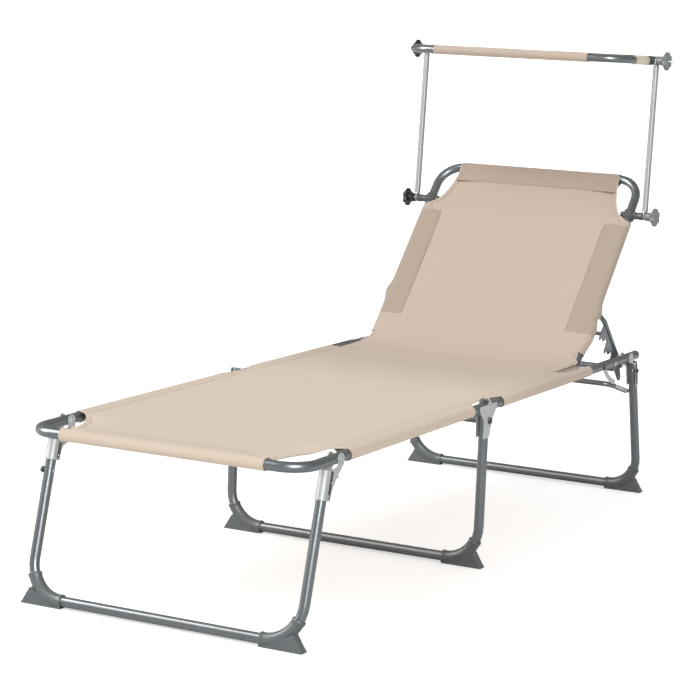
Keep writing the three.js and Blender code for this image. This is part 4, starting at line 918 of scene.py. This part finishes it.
def makeClamp():
    u, x = back["clampU"], back["x"]
    ring = [(u - 0.011, 0.0102), (u - 0.011, 0.0125), (u - 0.0098, 0.0136), (u + 0.0098, 0.0136),
            (u + 0.011, 0.0125), (u + 0.011, 0.0102)]
    steps = [(0.011, 0), (0.011, 0.0085), (0.018, 0.0085), (0.019, 0.0078), (0.022, 0.0078), (0.023, 0.0085),
             (0.028, 0.0085), (0.029, 0.0090), (0.0345, 0.0090), (0.0357, 0.0080), (0.0357, 0)]
    lug = [(0.021, 0), (0.021, 0.0050), (0.019, 0.0065), (0.011, 0.0070), (0.011, 0)]
    parts = [turned(ring, (x, 0, 0), (0, 1, 0)),
             turned([(x + out, radius) for out, radius in steps], (0, u, 0)),
             turned([(x - within, radius) for within, radius in lug], (0, u + 0.002, 0.0))]
    pair("canopyClamp", parts, finish["clampPlastic"], backPlace, "backrest", ["canopy_clamp"], "joint",
         sharp=32)


def starKnob():
    # six lobes: the radius is (R - lobe - lobe cos 6a) times a profile that rounds both faces
    knob = dict(radius=0.0210, lobe=0.0018, start=0.2950, hub=0.016, sides=72)
    start, face = knob["start"], knob["start"] + knob["hub"]
    profile = np.array([(0, 0.0), (0, 0.55), (0.0004, 0.80), (0.0012, 0.92), (0.0030, 0.99), (0.006, 1.0),
                        (0.0090, 0.99), (0.0108, 0.92), (0.0117, 0.80), (0.0120, 0.66), (0.0110, 0.58),
                        (0.0108, 0.30), (0.0116, 0.24), (0.0116, 0.0)])
    turn = np.arange(knob["sides"]) * 2 * np.pi / knob["sides"]
    lobes = knob["radius"] - knob["lobe"] - knob["lobe"] * np.cos(6 * turn)
    share = smoothStep((profile[:, 1:] - 0.3) / 0.4)
    radius = profile[:, 1:] * (lobes * share + knob["radius"] * (1 - share))
    star = gridPoints(face + profile[:, :1], radius * np.cos(turn), radius * np.sin(turn))
    hub = [(start, 0), (start, 0.009), (start + 0.001, 0.0098), (face + 0.001, 0.0104), (face + 0.001, 0)]
    return [grid(star, wrapColumns=True), turned(hub, (0, 0, 0))]


def canopyBolt(start, tip):
    washer = canopy["armX"] + 0.0023
    shank = stepped([(start, 0.003), (washer, 0.0075), (washer + 0.0010, 0.003)], tip - 0.0015)
    return turned(shank + [(tip, 0.0018), (tip, 0)], (0, 0, 0))


def makeKnobs():
    # the right knob is grey and the left one black
    for name, place, start, tip, body in (("clamp", armPlace, 0.2906, 0.3215, "backrest"),
                                          ("hoop", hoopPlace, 0.2635, canopy["boltTip"], "canopy_arms")):
        for label, look, slot in (("right", "knobGrey", "knob"), ("left", "knobBlack", "dark_knob")):
            knob, bolt = starKnob(), [canopyBolt(start, tip)]
            if label == "left":
                knob, bolt = [mirrored(part) for part in knob], [mirrored(part) for part in bolt]
            piece(name + "Knob" + label.capitalize(), knob, finish[look], place, f"{name}_knob_{label}",
                  [f"{name}_knob_{label}"], slot, sharp=50)
            piece(name + "Bolt" + label.capitalize(), bolt, finish["boltSteel"], place, body,
                  [f"{name}_bolt_{label}"], "bolt")


# cloth: over is how far the ellipses cut into its edges reach past the tubes' middle lines, and split is
# where the bed's piece ends and the backrest's begins
cloth = dict(thickness=0.0008, flap=0.030, footHem=0.035, cutHem=0.011, over=0.0118, split=0.400, tiny=1e-9)
sheetLook = dict(sag=0.004, pucker=0.0006, broad=0.0008, step=0.0006, groove=0.0008, drop=0.008,
                 frontStep=0.0004, frontGroove=0.0005, frontPucker=0.0005)
backLook = dict(sag=0.004, broad=0.0010, folds=0.0016, drop=0.006, step=0.0006, topStep=0.0005,
                bulge=0.0070, fuller=0.0085, slack=0.003, edgeBend=0.050, middleBend=0.150)
seed = 7


def hump(value, middle, width):
    return np.exp(-((value - middle) / width) ** 2)


def waves(across, along, rng, count, low, high):
    # a sum of sines with random directions, wavelengths from low to high, and phases
    size = rng.uniform(low, high, count)
    angle = rng.uniform(0, 2 * np.pi, count)
    phase = rng.uniform(0, 2 * np.pi, count)
    inner = (across[..., None] * np.cos(angle) + along[..., None] * np.sin(angle)) * 2 * np.pi / size + phase
    return np.sin(inner).sum(-1) / count


def sewnStep(across, height, ease):
    # the hem stands above the sheet by its height up to the stitch line, which lies in a groove
    return height * (1 - smoothStep((across - 0.9) / ease)) - 0.0007 * hump(across, 1, 0.08)


def sleeveSection(radius, flap, steps=16):
    # from the top of the tube round its outside and bottom, then straight up to the stitch line; with the
    # length along it, and how fast the sheet's own height fades out round it
    target = np.array([-flap, radius - 0.0012])
    lowTangent = math.atan2(target[1], target[0]) + math.acos(radius / np.linalg.norm(target))
    turn = np.linspace(np.pi / 2, lowTangent - 2 * np.pi, steps)
    arc = radius * np.stack([np.cos(turn), np.sin(turn)], -1)
    line = arc[-1] + (target - arc[-1]) * np.linspace(0, 1, 6)[1:, None]
    section = np.concatenate([arc, line])
    return section, lengthAlong(section), np.exp(-np.arange(len(section)) / 2.0)


def ellipseEdge(place, centre, halfLength, outside, depth):
    # x of the cloth's edge where an ellipse round the outer corner is cut away
    t = np.clip(np.abs(place - centre) / halfLength, 0, 1)
    return outside - depth * np.sqrt(1 - t * t)


def columnShares(hem, width, steps):
    # distances inward from the edge: close together across the hem, then even to the middle line
    close = np.array([0.0, 0.35, 0.7, 0.92, 1.0, 1.08, 1.35])
    inward = hem[:, None] * close
    rest = inward[:, -1:] + (width[:, None] - inward[:, -1:]) * np.linspace(0, 1, steps)[1:]
    return np.concatenate([inward, rest], 1)


def clothGrid(along, left, right, hem, heightOf, steps=16, fuller=(0, 0)):
    # rows along the length and columns from the left edge to the right, with uv for weave and seams;
    # each side's hem is wider by its own fullness, so the stitch line stays straight
    dLeft, dRight = (columnShares(hem + more, width, steps) for more, width in zip(fuller, (left, right)))
    hems = np.concatenate([(hem + fuller[0])[:, None] + 0 * dLeft,
                           (hem + fuller[1])[:, None] + 0 * dRight[:, 1:]], 1)
    x = np.concatenate([dLeft - left[:, None], (right[:, None] - dRight)[:, ::-1][:, 1:]], 1)
    inward = np.concatenate([dLeft, dRight[:, ::-1][:, 1:]], 1)
    y = np.broadcast_to(along[:, None], x.shape)
    return x, y, inward, inward / hems, heightOf(x, y, inward, hems)


def cutReach(cut):
    # half the length of a cut where it crosses the tube's middle line
    return cut["half"] * math.sqrt(1 - (cloth["over"] / cut["depth"]) ** 2)


def nearerSeam(first, second):
    # of two stitch lines, each as its distances across and along, the nearer one at every point
    nearer = np.abs(second[0] - 1) < np.abs(first[0] - 1)
    return [np.where(nearer, b, a) for a, b in zip(first, second)]


class ClothParts:
    # the grids of one cloth piece, each with uv for the weave, the stitch lines and the doubled bands
    def __init__(self):
        self.grids, self.maps = [], {"cloth": [], "seam": [], "band": []}

    def add(self, points, weave, seam, band, flipRows=False, flipColumns=False):
        # each uv is a pair of arrays or numbers, spread over the grid and flipped with it
        flip = (slice(None, None, -1 if flipRows else 1), slice(None, None, -1 if flipColumns else 1))
        self.grids.append(grid(points[flip]))
        for layer, values in zip(self.maps, (weave, seam, band)):
            spread = [np.broadcast_to(value, points.shape[:2])[flip].ravel() for value in values]
            self.maps[layer].append(np.stack(spread, -1))

    def piece(self, name, material, place, body, stands, slot):
        uv = {layer: np.concatenate(values) for layer, values in self.maps.items()}
        return piece(name, self.grids, finish[material], place, body, stands, slot,
                     thickness=cloth["thickness"], sharp=70, uv=uv)


def bedHeight(x, y, inward, hem):
    rng = np.random.default_rng(seed)
    top, across = railZ + bed["sleeve"], inward / hem
    belly = np.clip(1 - (x / railX) ** 2, 0, 1) * smoothStep((y - bed["barY"]) / 0.25) * sheetLook["sag"]
    step = sheetLook["step"] * (1 - smoothStep((across - 0.90) / 0.15))
    groove = sheetLook["groove"] * hump(across, 1, 0.10)
    pucker = sheetLook["pucker"] * waves(x * 0.3, y, rng, 9, 0.02, 0.06) * hump(across, 1.1, 0.9)
    broad = sheetLook["broad"] * waves(x, y, rng, 8, 0.12, 0.4) * smoothStep(inward / 0.05)
    # the free edge between the tubes hangs a little below them
    free = smoothStep((railX - np.abs(x) - inward - 0.022) / 0.03) * smoothStep((y - bed["barY"]) / 0.03)
    share = np.where(y < bed["foldY"] - 0.1, 1.0, 0.35)
    drop = sheetLook["drop"] * share * free * hump(inward, 0, 0.05)
    return top - belly + step - groove + pucker + broad - drop


def edgeBand(name, edge, normal, place, body=None):
    # a thin rolled hem carried along a cut edge
    hem = carried(circle(0.0017, 10, 0.75), edge, unit(np.gradient(edge, axis=0)), normal)
    return piece(name, [grid(hem, wrapColumns=True, capRows=True)], finish["hemCloth"], place, body)


def makeBedCloth():
    footCut, foldCut = dict(half=0.163, depth=0.0850), dict(half=0.078, depth=0.0240)
    bar, fold, split, sleeveEnd = bed["barY"], bed["foldY"], cloth["split"], 0.518
    outside, tiny = railX + cloth["over"], cloth["tiny"]
    footStart = bar + cutReach(footCut)
    foldStart, foldEnd = fold - cutReach(foldCut), fold + cutReach(foldCut)
    marks = [footStart, foldStart, foldEnd, fold]
    y = np.unique(np.concatenate([np.linspace(bar, split, 190), marks, fold + np.linspace(-0.05, 0.05, 21)]))
    atFoot = ellipseEdge(y, bar, footCut["half"], outside, footCut["depth"])
    atFold = ellipseEdge(y, fold, foldCut["half"], outside, foldCut["depth"])
    half = np.minimum(railX, np.minimum(atFoot, atFold))
    whole = np.minimum(smoothStep((half - railX + 0.012) / 0.012), 1)
    hem = cloth["cutHem"] + (cloth["flap"] - cloth["cutHem"]) * whole
    x, yy, inward, seamAcross, z = clothGrid(y, half, half, hem, bedHeight)
    # the front hem's own stitch line takes over near the bar
    frontAcross = (yy - bar) / cloth["footHem"]
    z = z + sheetLook["frontStep"] * (1 - smoothStep((frontAcross - 0.9) / 0.2))
    z = z - sheetLook["frontGroove"] * hump(frontAcross, 1, 0.08)
    frontWaves = waves(x, yy * 0.3, np.random.default_rng(3), 7, 0.02, 0.05)
    z = z + sheetLook["frontPucker"] * frontWaves * hump(frontAcross, 1.1, 0.7)
    parts = ClothParts()
    # the band's second place, up the bed from the hinge, darkens the seat towards its rear with the painted shade
    parts.add(gridPoints(x, yy, z), (x, yy), nearerSeam((seamAcross, yy), (frontAcross, x)), (0, yy - hingeY))
    # side sleeves: rows that share the sheet's edge points, and on their own from the split to the hinge
    section, run, fade = sleeveSection(bed["sleeve"], cloth["flap"])
    longRows = np.linspace(split, sleeveEnd, 18)[1:]
    for sign, column in ((1, -1), (-1, 0)):
        for low, high in ((footStart, foldStart), (foldEnd, sleeveEnd)):
            keep = (y >= low - tiny) & (y <= high + tiny)
            rows, heights = y[keep], z[keep, column]
            if high > split:
                rows = np.concatenate([rows, longRows])
                heights = np.concatenate([heights, np.full(len(longRows), railZ + bed["sleeve"])])
            rows = rows[:, None]
            lift = (heights - railZ - bed["sleeve"])[:, None] * fade
            points = gridPoints(sign * (railX + section[:, 0]), rows, railZ + section[:, 1] + lift)
            parts.add(points, (sign * (railX + run), rows), (9, rows), (0, rows - hingeY),
                      flipColumns=sign < 0)
    # front sleeve round the foot bar, with the same columns as the sheet's first row
    section, run, fade = sleeveSection(bed["sleeve"], cloth["footHem"])
    frontZ = railZ + section[:, 1:] + fade[:, None] * (z[0] - railZ - bed["sleeve"])
    parts.add(gridPoints(x[0], bar - section[:, :1], frontZ), (x[0], bar - run[:, None]), (9, 0), (0, -1.0),
              flipRows=True)
    sheetPiece = parts.piece("bedCloth", "seatCloth", bedPlace, None, ["seat_fabric", "foot_fabric"], "cloth")
    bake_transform(sheetPiece)
    # thin hems along the cut edges
    for sign, label, column in ((1, "Right", -1), (-1, "Left", 0)):
        for name, low, high, body in (("footCutHem", bar, footStart, "foot_section"),
                                      ("foldCutHem", foldStart, foldEnd, None)):
            keep = (y >= low - tiny) & (y <= high + tiny)
            edge = np.stack([sign * half[keep], y[keep], z[keep, column]], -1)
            band = edgeBand(name + label, edge, (0, 0, 1), bedPlace, body)
            if not body:
                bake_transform(band)


def makeBackCloth():
    cut = dict(depth=0.064, half=0.136, centre=back["length"] + cloth["over"],
               outside=back["x"] + cloth["over"])
    split, sleeveStart, lift, angle = cloth["split"], 0.036, back["sleeve"], backPlace[0]
    length, doubledHem, topHemWide = back["length"], back["x"] - bands["x"], back["length"] - bands["top"]
    c, s = math.cos(angle), math.sin(angle)
    hinge = (backPlace[1] - bedOrigin)[1:]
    corner = (hinge[0] - lift * math.tan(angle / 2), hinge[1] + lift)
    top = (hinge[0] + length * c - lift * s, hinge[1] + length * s + lift * c)
    # the middle of the sheet turns up the back in a wider curve than its edges
    (path, along), (widePath, _) = (rounded([(split, hinge[1] + lift), corner, top], bend, 40)
                                    for bend in (backLook["edgeBend"], backLook["middleBend"]))
    run, wideRun = lengthAlong(path), lengthAlong(widePath)
    cutStart = cut["centre"] - cutReach(cut)
    marks = run[-1] - length + np.array([sleeveStart, cutStart, bands["top"]])
    r = np.unique(np.concatenate([np.linspace(run[0], run[-1], 130), marks]))
    u = r - run[-1] + length
    centre, direction = sampled(r, run, path), unit(sampled(r, run, along))
    wide = sampled(r / run[-1], wideRun / wideRun[-1], widePath)
    up = np.stack([-direction[:, 1], direction[:, 0]], -1)
    narrow = smoothStep((u + 0.020) / 0.036)
    slack = backLook["slack"] * np.clip(1 - ((u - 0.014) / 0.022) ** 2, 0, 1)
    width = railX * (1 - narrow) + back["x"] * narrow + slack
    width = np.minimum(width, ellipseEdge(u, cut["centre"], cut["half"], cut["outside"], cut["depth"]))
    # the sleeve bulges over each strut's head, and is fuller below it on the right
    leftEase = backLook["bulge"] * hump(u, back["strutU"], 0.018)
    fuller = backLook["fuller"] * smoothStep((u - 0.036) / 0.05) * (1 - smoothStep((u - 0.105) / 0.042))
    rightEase = np.maximum(leftEase, fuller)
    hem = np.interp(u, [-0.02, 0.06, cutStart - 0.03, cutStart],
                    [cloth["flap"], doubledHem, doubledHem, cloth["cutHem"]])
    rng = np.random.default_rng(11)

    def height(x, uu, inward, hemWide):
        across, atTop = inward / hemWide, (length - uu) / topHemWide
        belly = backLook["sag"] * np.clip(1 - (x / 0.245) ** 2, 0, 1) * smoothStep((0.5 - uu) / 0.2)
        sideHem = sewnStep(across, backLook["step"], 0.15) * smoothStep((uu - 0.07) / 0.02)
        broad = backLook["broad"] * waves(x, uu, rng, 9, 0.10, 0.35) * smoothStep(inward / 0.05)
        # folds fan out from each lower corner
        fan = np.arctan2(uu - 0.075, inward + 0.02)
        corners = hump(uu, 0.02, 0.055) * hump(inward, 0.02, 0.05)
        folds = backLook["folds"] * corners * (1.2 + np.cos(fan * 9.0 + 0.6 * np.sign(x)))
        topHem = sewnStep(atTop, backLook["topStep"], 0.2)
        free = smoothStep((uu - cutStart) / 0.03) * smoothStep((length - uu) / 0.03)
        own = -belly + sideHem + broad + folds + topHem - backLook["drop"] * free * hump(inward, 0, 0.05)
        # where the sheet leaves the seat it has the seat's own height
        seatHeight = bedHeight(x, uu - uu[:1] + split, inward, hemWide) - railZ - bed["sleeve"]
        share = smoothStep((uu - uu[:1]) / 0.09)
        return seatHeight * (1 - share) + own * share

    x, uu, inward, seamAcross, n = clothGrid(u, width + leftEase, width + rightEase, hem, height,
                                             fuller=(leftEase, rightEase))
    share = smoothStep(inward / 0.10)
    y, z = (centre[:, k:k + 1] * (1 - share) + wide[:, k:k + 1] * share + up[:, k:k + 1] * n for k in (0, 1))
    shift = split - u[0]
    parts = ClothParts()
    seams = nearerSeam((seamAcross, uu), ((length - uu) / topHemWide, x))
    # the band's place up the backrest lies past the painted shade's end, so the whole backrest has the darker rear
    # colour
    parts.add(gridPoints(x, y, z), (x, uu + shift), seams, (np.abs(x), uu))

    def toBed(px, pu, pn):
        # from across, up and off the backrest to the bed's axes
        return gridPoints(px, hinge[0] + pu * c - pn * s, hinge[1] + pu * s + pn * c)

    # side sleeves and the top sleeve in the backrest's own frame
    section, sleeveRun, fade = sleeveSection(back["sleeve"], doubledHem)
    rows = np.where((u >= sleeveStart - cloth["tiny"]) & (u <= cutStart + cloth["tiny"]))[0]
    uRows, order = u[rows][:, None], np.arange(len(section))
    easeFade = np.where(order < 14, 1.0, np.exp(-(order - 13) / 3.0))
    for sign, column, ease in ((1, -1, rightEase), (-1, 0, leftEase)):
        px = sign * (back["x"] + section[:, 0] + ease[rows][:, None] * easeFade)
        pn = section[:, 1] + n[rows, column][:, None] * fade
        across = back["x"] + sleeveRun
        parts.add(toBed(px, uRows, pn), (sign * across, uRows + shift), (9, 0), (across, uRows),
                  flipColumns=sign < 0)
    section, sleeveRun, fade = sleeveSection(back["sleeve"], topHemWide)
    points = toBed(x[-1], length + section[:, :1], section[:, 1:] + fade[:, None] * n[-1])
    parts.add(points, (x[-1], shift + length + sleeveRun[:, None]), (9, 0), (0, length))
    sheetPiece = parts.piece("backrestCloth", "backCloth", bedPlace, None, ["back_fabric"], "back_cloth")
    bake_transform(sheetPiece)
    # thin hems along the top corners' cuts, and along the lap beside each rail
    half = angle / 2
    lap = (u >= -0.020) & (u <= sleeveStart + cloth["tiny"])
    for label, column in (("Right", -1), ("Left", 0)):
        for name, keep, normal, body in (
                ("backCutHem", u >= cutStart - cloth["tiny"], (0, -s, c), "backrest"),
                ("lapHem", lap, (0, -math.sin(half), math.cos(half)), None)):
            edge = np.stack([x[keep, column], y[keep, column], z[keep, column]], -1)
            hemPiece = edgeBand(name + label, edge, normal, bedPlace, body)
            if not body:
                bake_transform(hemPiece)


def makeCanopyCloth():
    # a stretched sheet with a sleeve round each side of the hoop and its corners cut out
    x, half, radius = canopy["hoopX"], canopy["hoopHalf"], canopy["sleeve"]
    edge = dict(right=0.190, left=0.194, cutY=0.064, gap=0.0145, hem=0.022)
    # painted shade: the band place 0.3 gives the canopy's cloth the darker rear colour
    gap, flat, tone, tiny = edge["gap"], half - edge["cutY"], 0.3, cloth["tiny"]
    y = np.unique(np.concatenate([np.linspace(-half, half, 60), [-flat, flat, -gap, gap]]))
    rng = np.random.default_rng(5)

    def edgeAt(reach):
        t = np.clip((np.abs(y) - flat) / edge["cutY"], 0, 1)
        return reach + (x - reach) * np.sqrt(1 - t * t)

    def height(px, py, inward, hemWide):
        belly = 0.005 * np.clip(1 - (px / x) ** 2, 0, 1) * np.clip(1 - (py / half) ** 2, 0, 1)
        return radius - belly + 0.0006 * waves(px, py, rng, 7, 0.06, 0.2) * smoothStep(inward / 0.04)

    hem = np.interp(np.abs(y), [0, flat - 0.01, flat + 0.01, half], [edge["hem"], edge["hem"], 0.010, 0.010])
    px, py, inward, seamAcross, pz = clothGrid(y, edgeAt(edge["left"]), edgeAt(edge["right"]), hem, height)
    parts = ClothParts()
    parts.add(gridPoints(px, py, pz), (px, py), (seamAcross, py), (0, tone))
    section, run, fade = sleeveSection(radius, edge["hem"])
    for sign, column in ((1, -1), (-1, 0)):
        for low, high in ((-flat, -gap), (gap, flat)):
            rows = np.where((y >= low - tiny) & (y <= high + tiny))[0]
            sz = section[:, 1] + (pz[rows, column] - radius)[:, None] * fade
            points = gridPoints(sign * (x + section[:, 0]), y[rows][:, None], sz)
            parts.add(points, (sign * (x + run), y[rows][:, None]), (9, 0), (0, tone), flipColumns=sign < 0)
        sz = section[:, 1:] + fade[:, None] * (pz[column] - radius)
        points = gridPoints(px[column], sign * (half + section[:, :1]), sz)
        parts.add(points, (px[column], sign * (half + run[:, None])), (9, 0), (0, tone), flipRows=sign < 0)
    sheetPiece = parts.piece("canopyCloth", "backCloth", hoopPlace, "canopy", ["canopy_fabric"], "cloth")


# floor and light
def makeLamp(name, kind, aim, place=(0, 0, 0), **settings):
    light = bpy.data.lights.new(name, kind)
    for key, value in settings.items():
        setattr(light, key, value)
    lamp = bpy.data.objects.new(name, light)
    lamp.location = place
    lamp.rotation_mode = "QUATERNION"
    lamp.rotation_quaternion = aim.to_track_quat("-Z", "Y")
    bpy.context.scene.collection.objects.link(lamp)
    return lamp


def makeStage():
    white = dict(floor=0.92, lift=0.50, world=0.62, glossy=0.34, sun=1.35, fill=0.25, streak=340.0,
                 reach=60.0)
    mesh = bpy.data.meshes.new("floor")
    corners = [(x * white["reach"], y * white["reach"], 0) for x, y in ((-1, -1), (1, -1), (1, 1), (-1, 1))]
    mesh.from_pydata(corners, [], [(0, 1, 2, 3)])
    floor = bpy.data.objects.new("floor", mesh)
    floor.location.z = -0.0002
    bpy.context.scene.collection.objects.link(floor)
    material, nodes, shader = newMaterial("paleFloor")
    seen = nodes.add("ShaderNodeLightPath").outputs["Is Camera Ray"]
    nodes.feed(shader, {"Base Color": (white["floor"],) * 3 + (1.0,), "Roughness": 0.9,
                        "Specular IOR Level": 0.0, "Emission Color": (1, 1, 1, 1),
                        "Emission Strength": nodes.times(seen, white["lift"])})
    mesh.materials.append(material)
    world = bpy.data.worlds.new("studio")
    bpy.context.scene.world = world
    world.use_nodes = True
    # the world is full white where it is seen, and dimmer for shiny surfaces and for light
    nodes = Nodes(world.node_tree)
    path = nodes.add("ShaderNodeLightPath").outputs
    seen = nodes.math("MAXIMUM", path["Is Camera Ray"], path["Is Transmission Ray"])
    shinySees = nodes.spread(path["Is Glossy Ray"], 0.0, 1.0, white["world"], white["glossy"])
    nodes.feed(world.node_tree.nodes["Background"],
               {"Color": (1, 1, 1, 1), "Strength": nodes.math("MAXIMUM", shinySees, seen)})
    # two soft boxes that only shiny surfaces see, for the bright line along every tube
    for name, place, size in (("streakLeft", (-3.6, -2.2, 3.0), (2.0, 3.6)),
                              ("streakRight", (2.9, -3.6, 2.6), (2.0, 3.0))):
        lamp = makeLamp(name, "AREA", Vector((0, 0, 0.4)) - Vector(place), Vector(place) + Vector(bedOrigin),
                        shape="RECTANGLE", size=size[0], size_y=size[1], energy=white["streak"],
                        use_shadow=False)
        lamp.visible_diffuse = False
    for name, strength, spread, direction in (("key", white["sun"], 34, (0.35, 0.55, -0.75)),
                                              ("fill", white["fill"], 60, (-0.9, 0.2, -0.4))):
        lamp = makeLamp(name, "SUN", Vector(direction), energy=strength, angle=math.radians(spread))
        lamp.visible_glossy = False
    bpy.context.scene.view_settings.view_transform = "Standard"


makeCamera()
makeStage()
print("camera and stage made")
makeBedFrame()
makeCrossTubes()
for legName, leg in legs.items():
    makeLeg(legName, leg)
makeLegBracket("front", legs["front"], -0.632, 1, "foot_section")
makeLegBracket("rear", legs["rear"], 0.742, -1, "root")
makeMiddleBracket()
makeRearStay()
print("bed frame and legs made")
makeBackFrame()
makeStruts()
makeArm()
makeHoop()
makeClamp()
makeKnobs()
print("backrest frame and canopy made")
makeBedCloth()
makeBackCloth()
makeCanopyCloth()
print("cloth made")
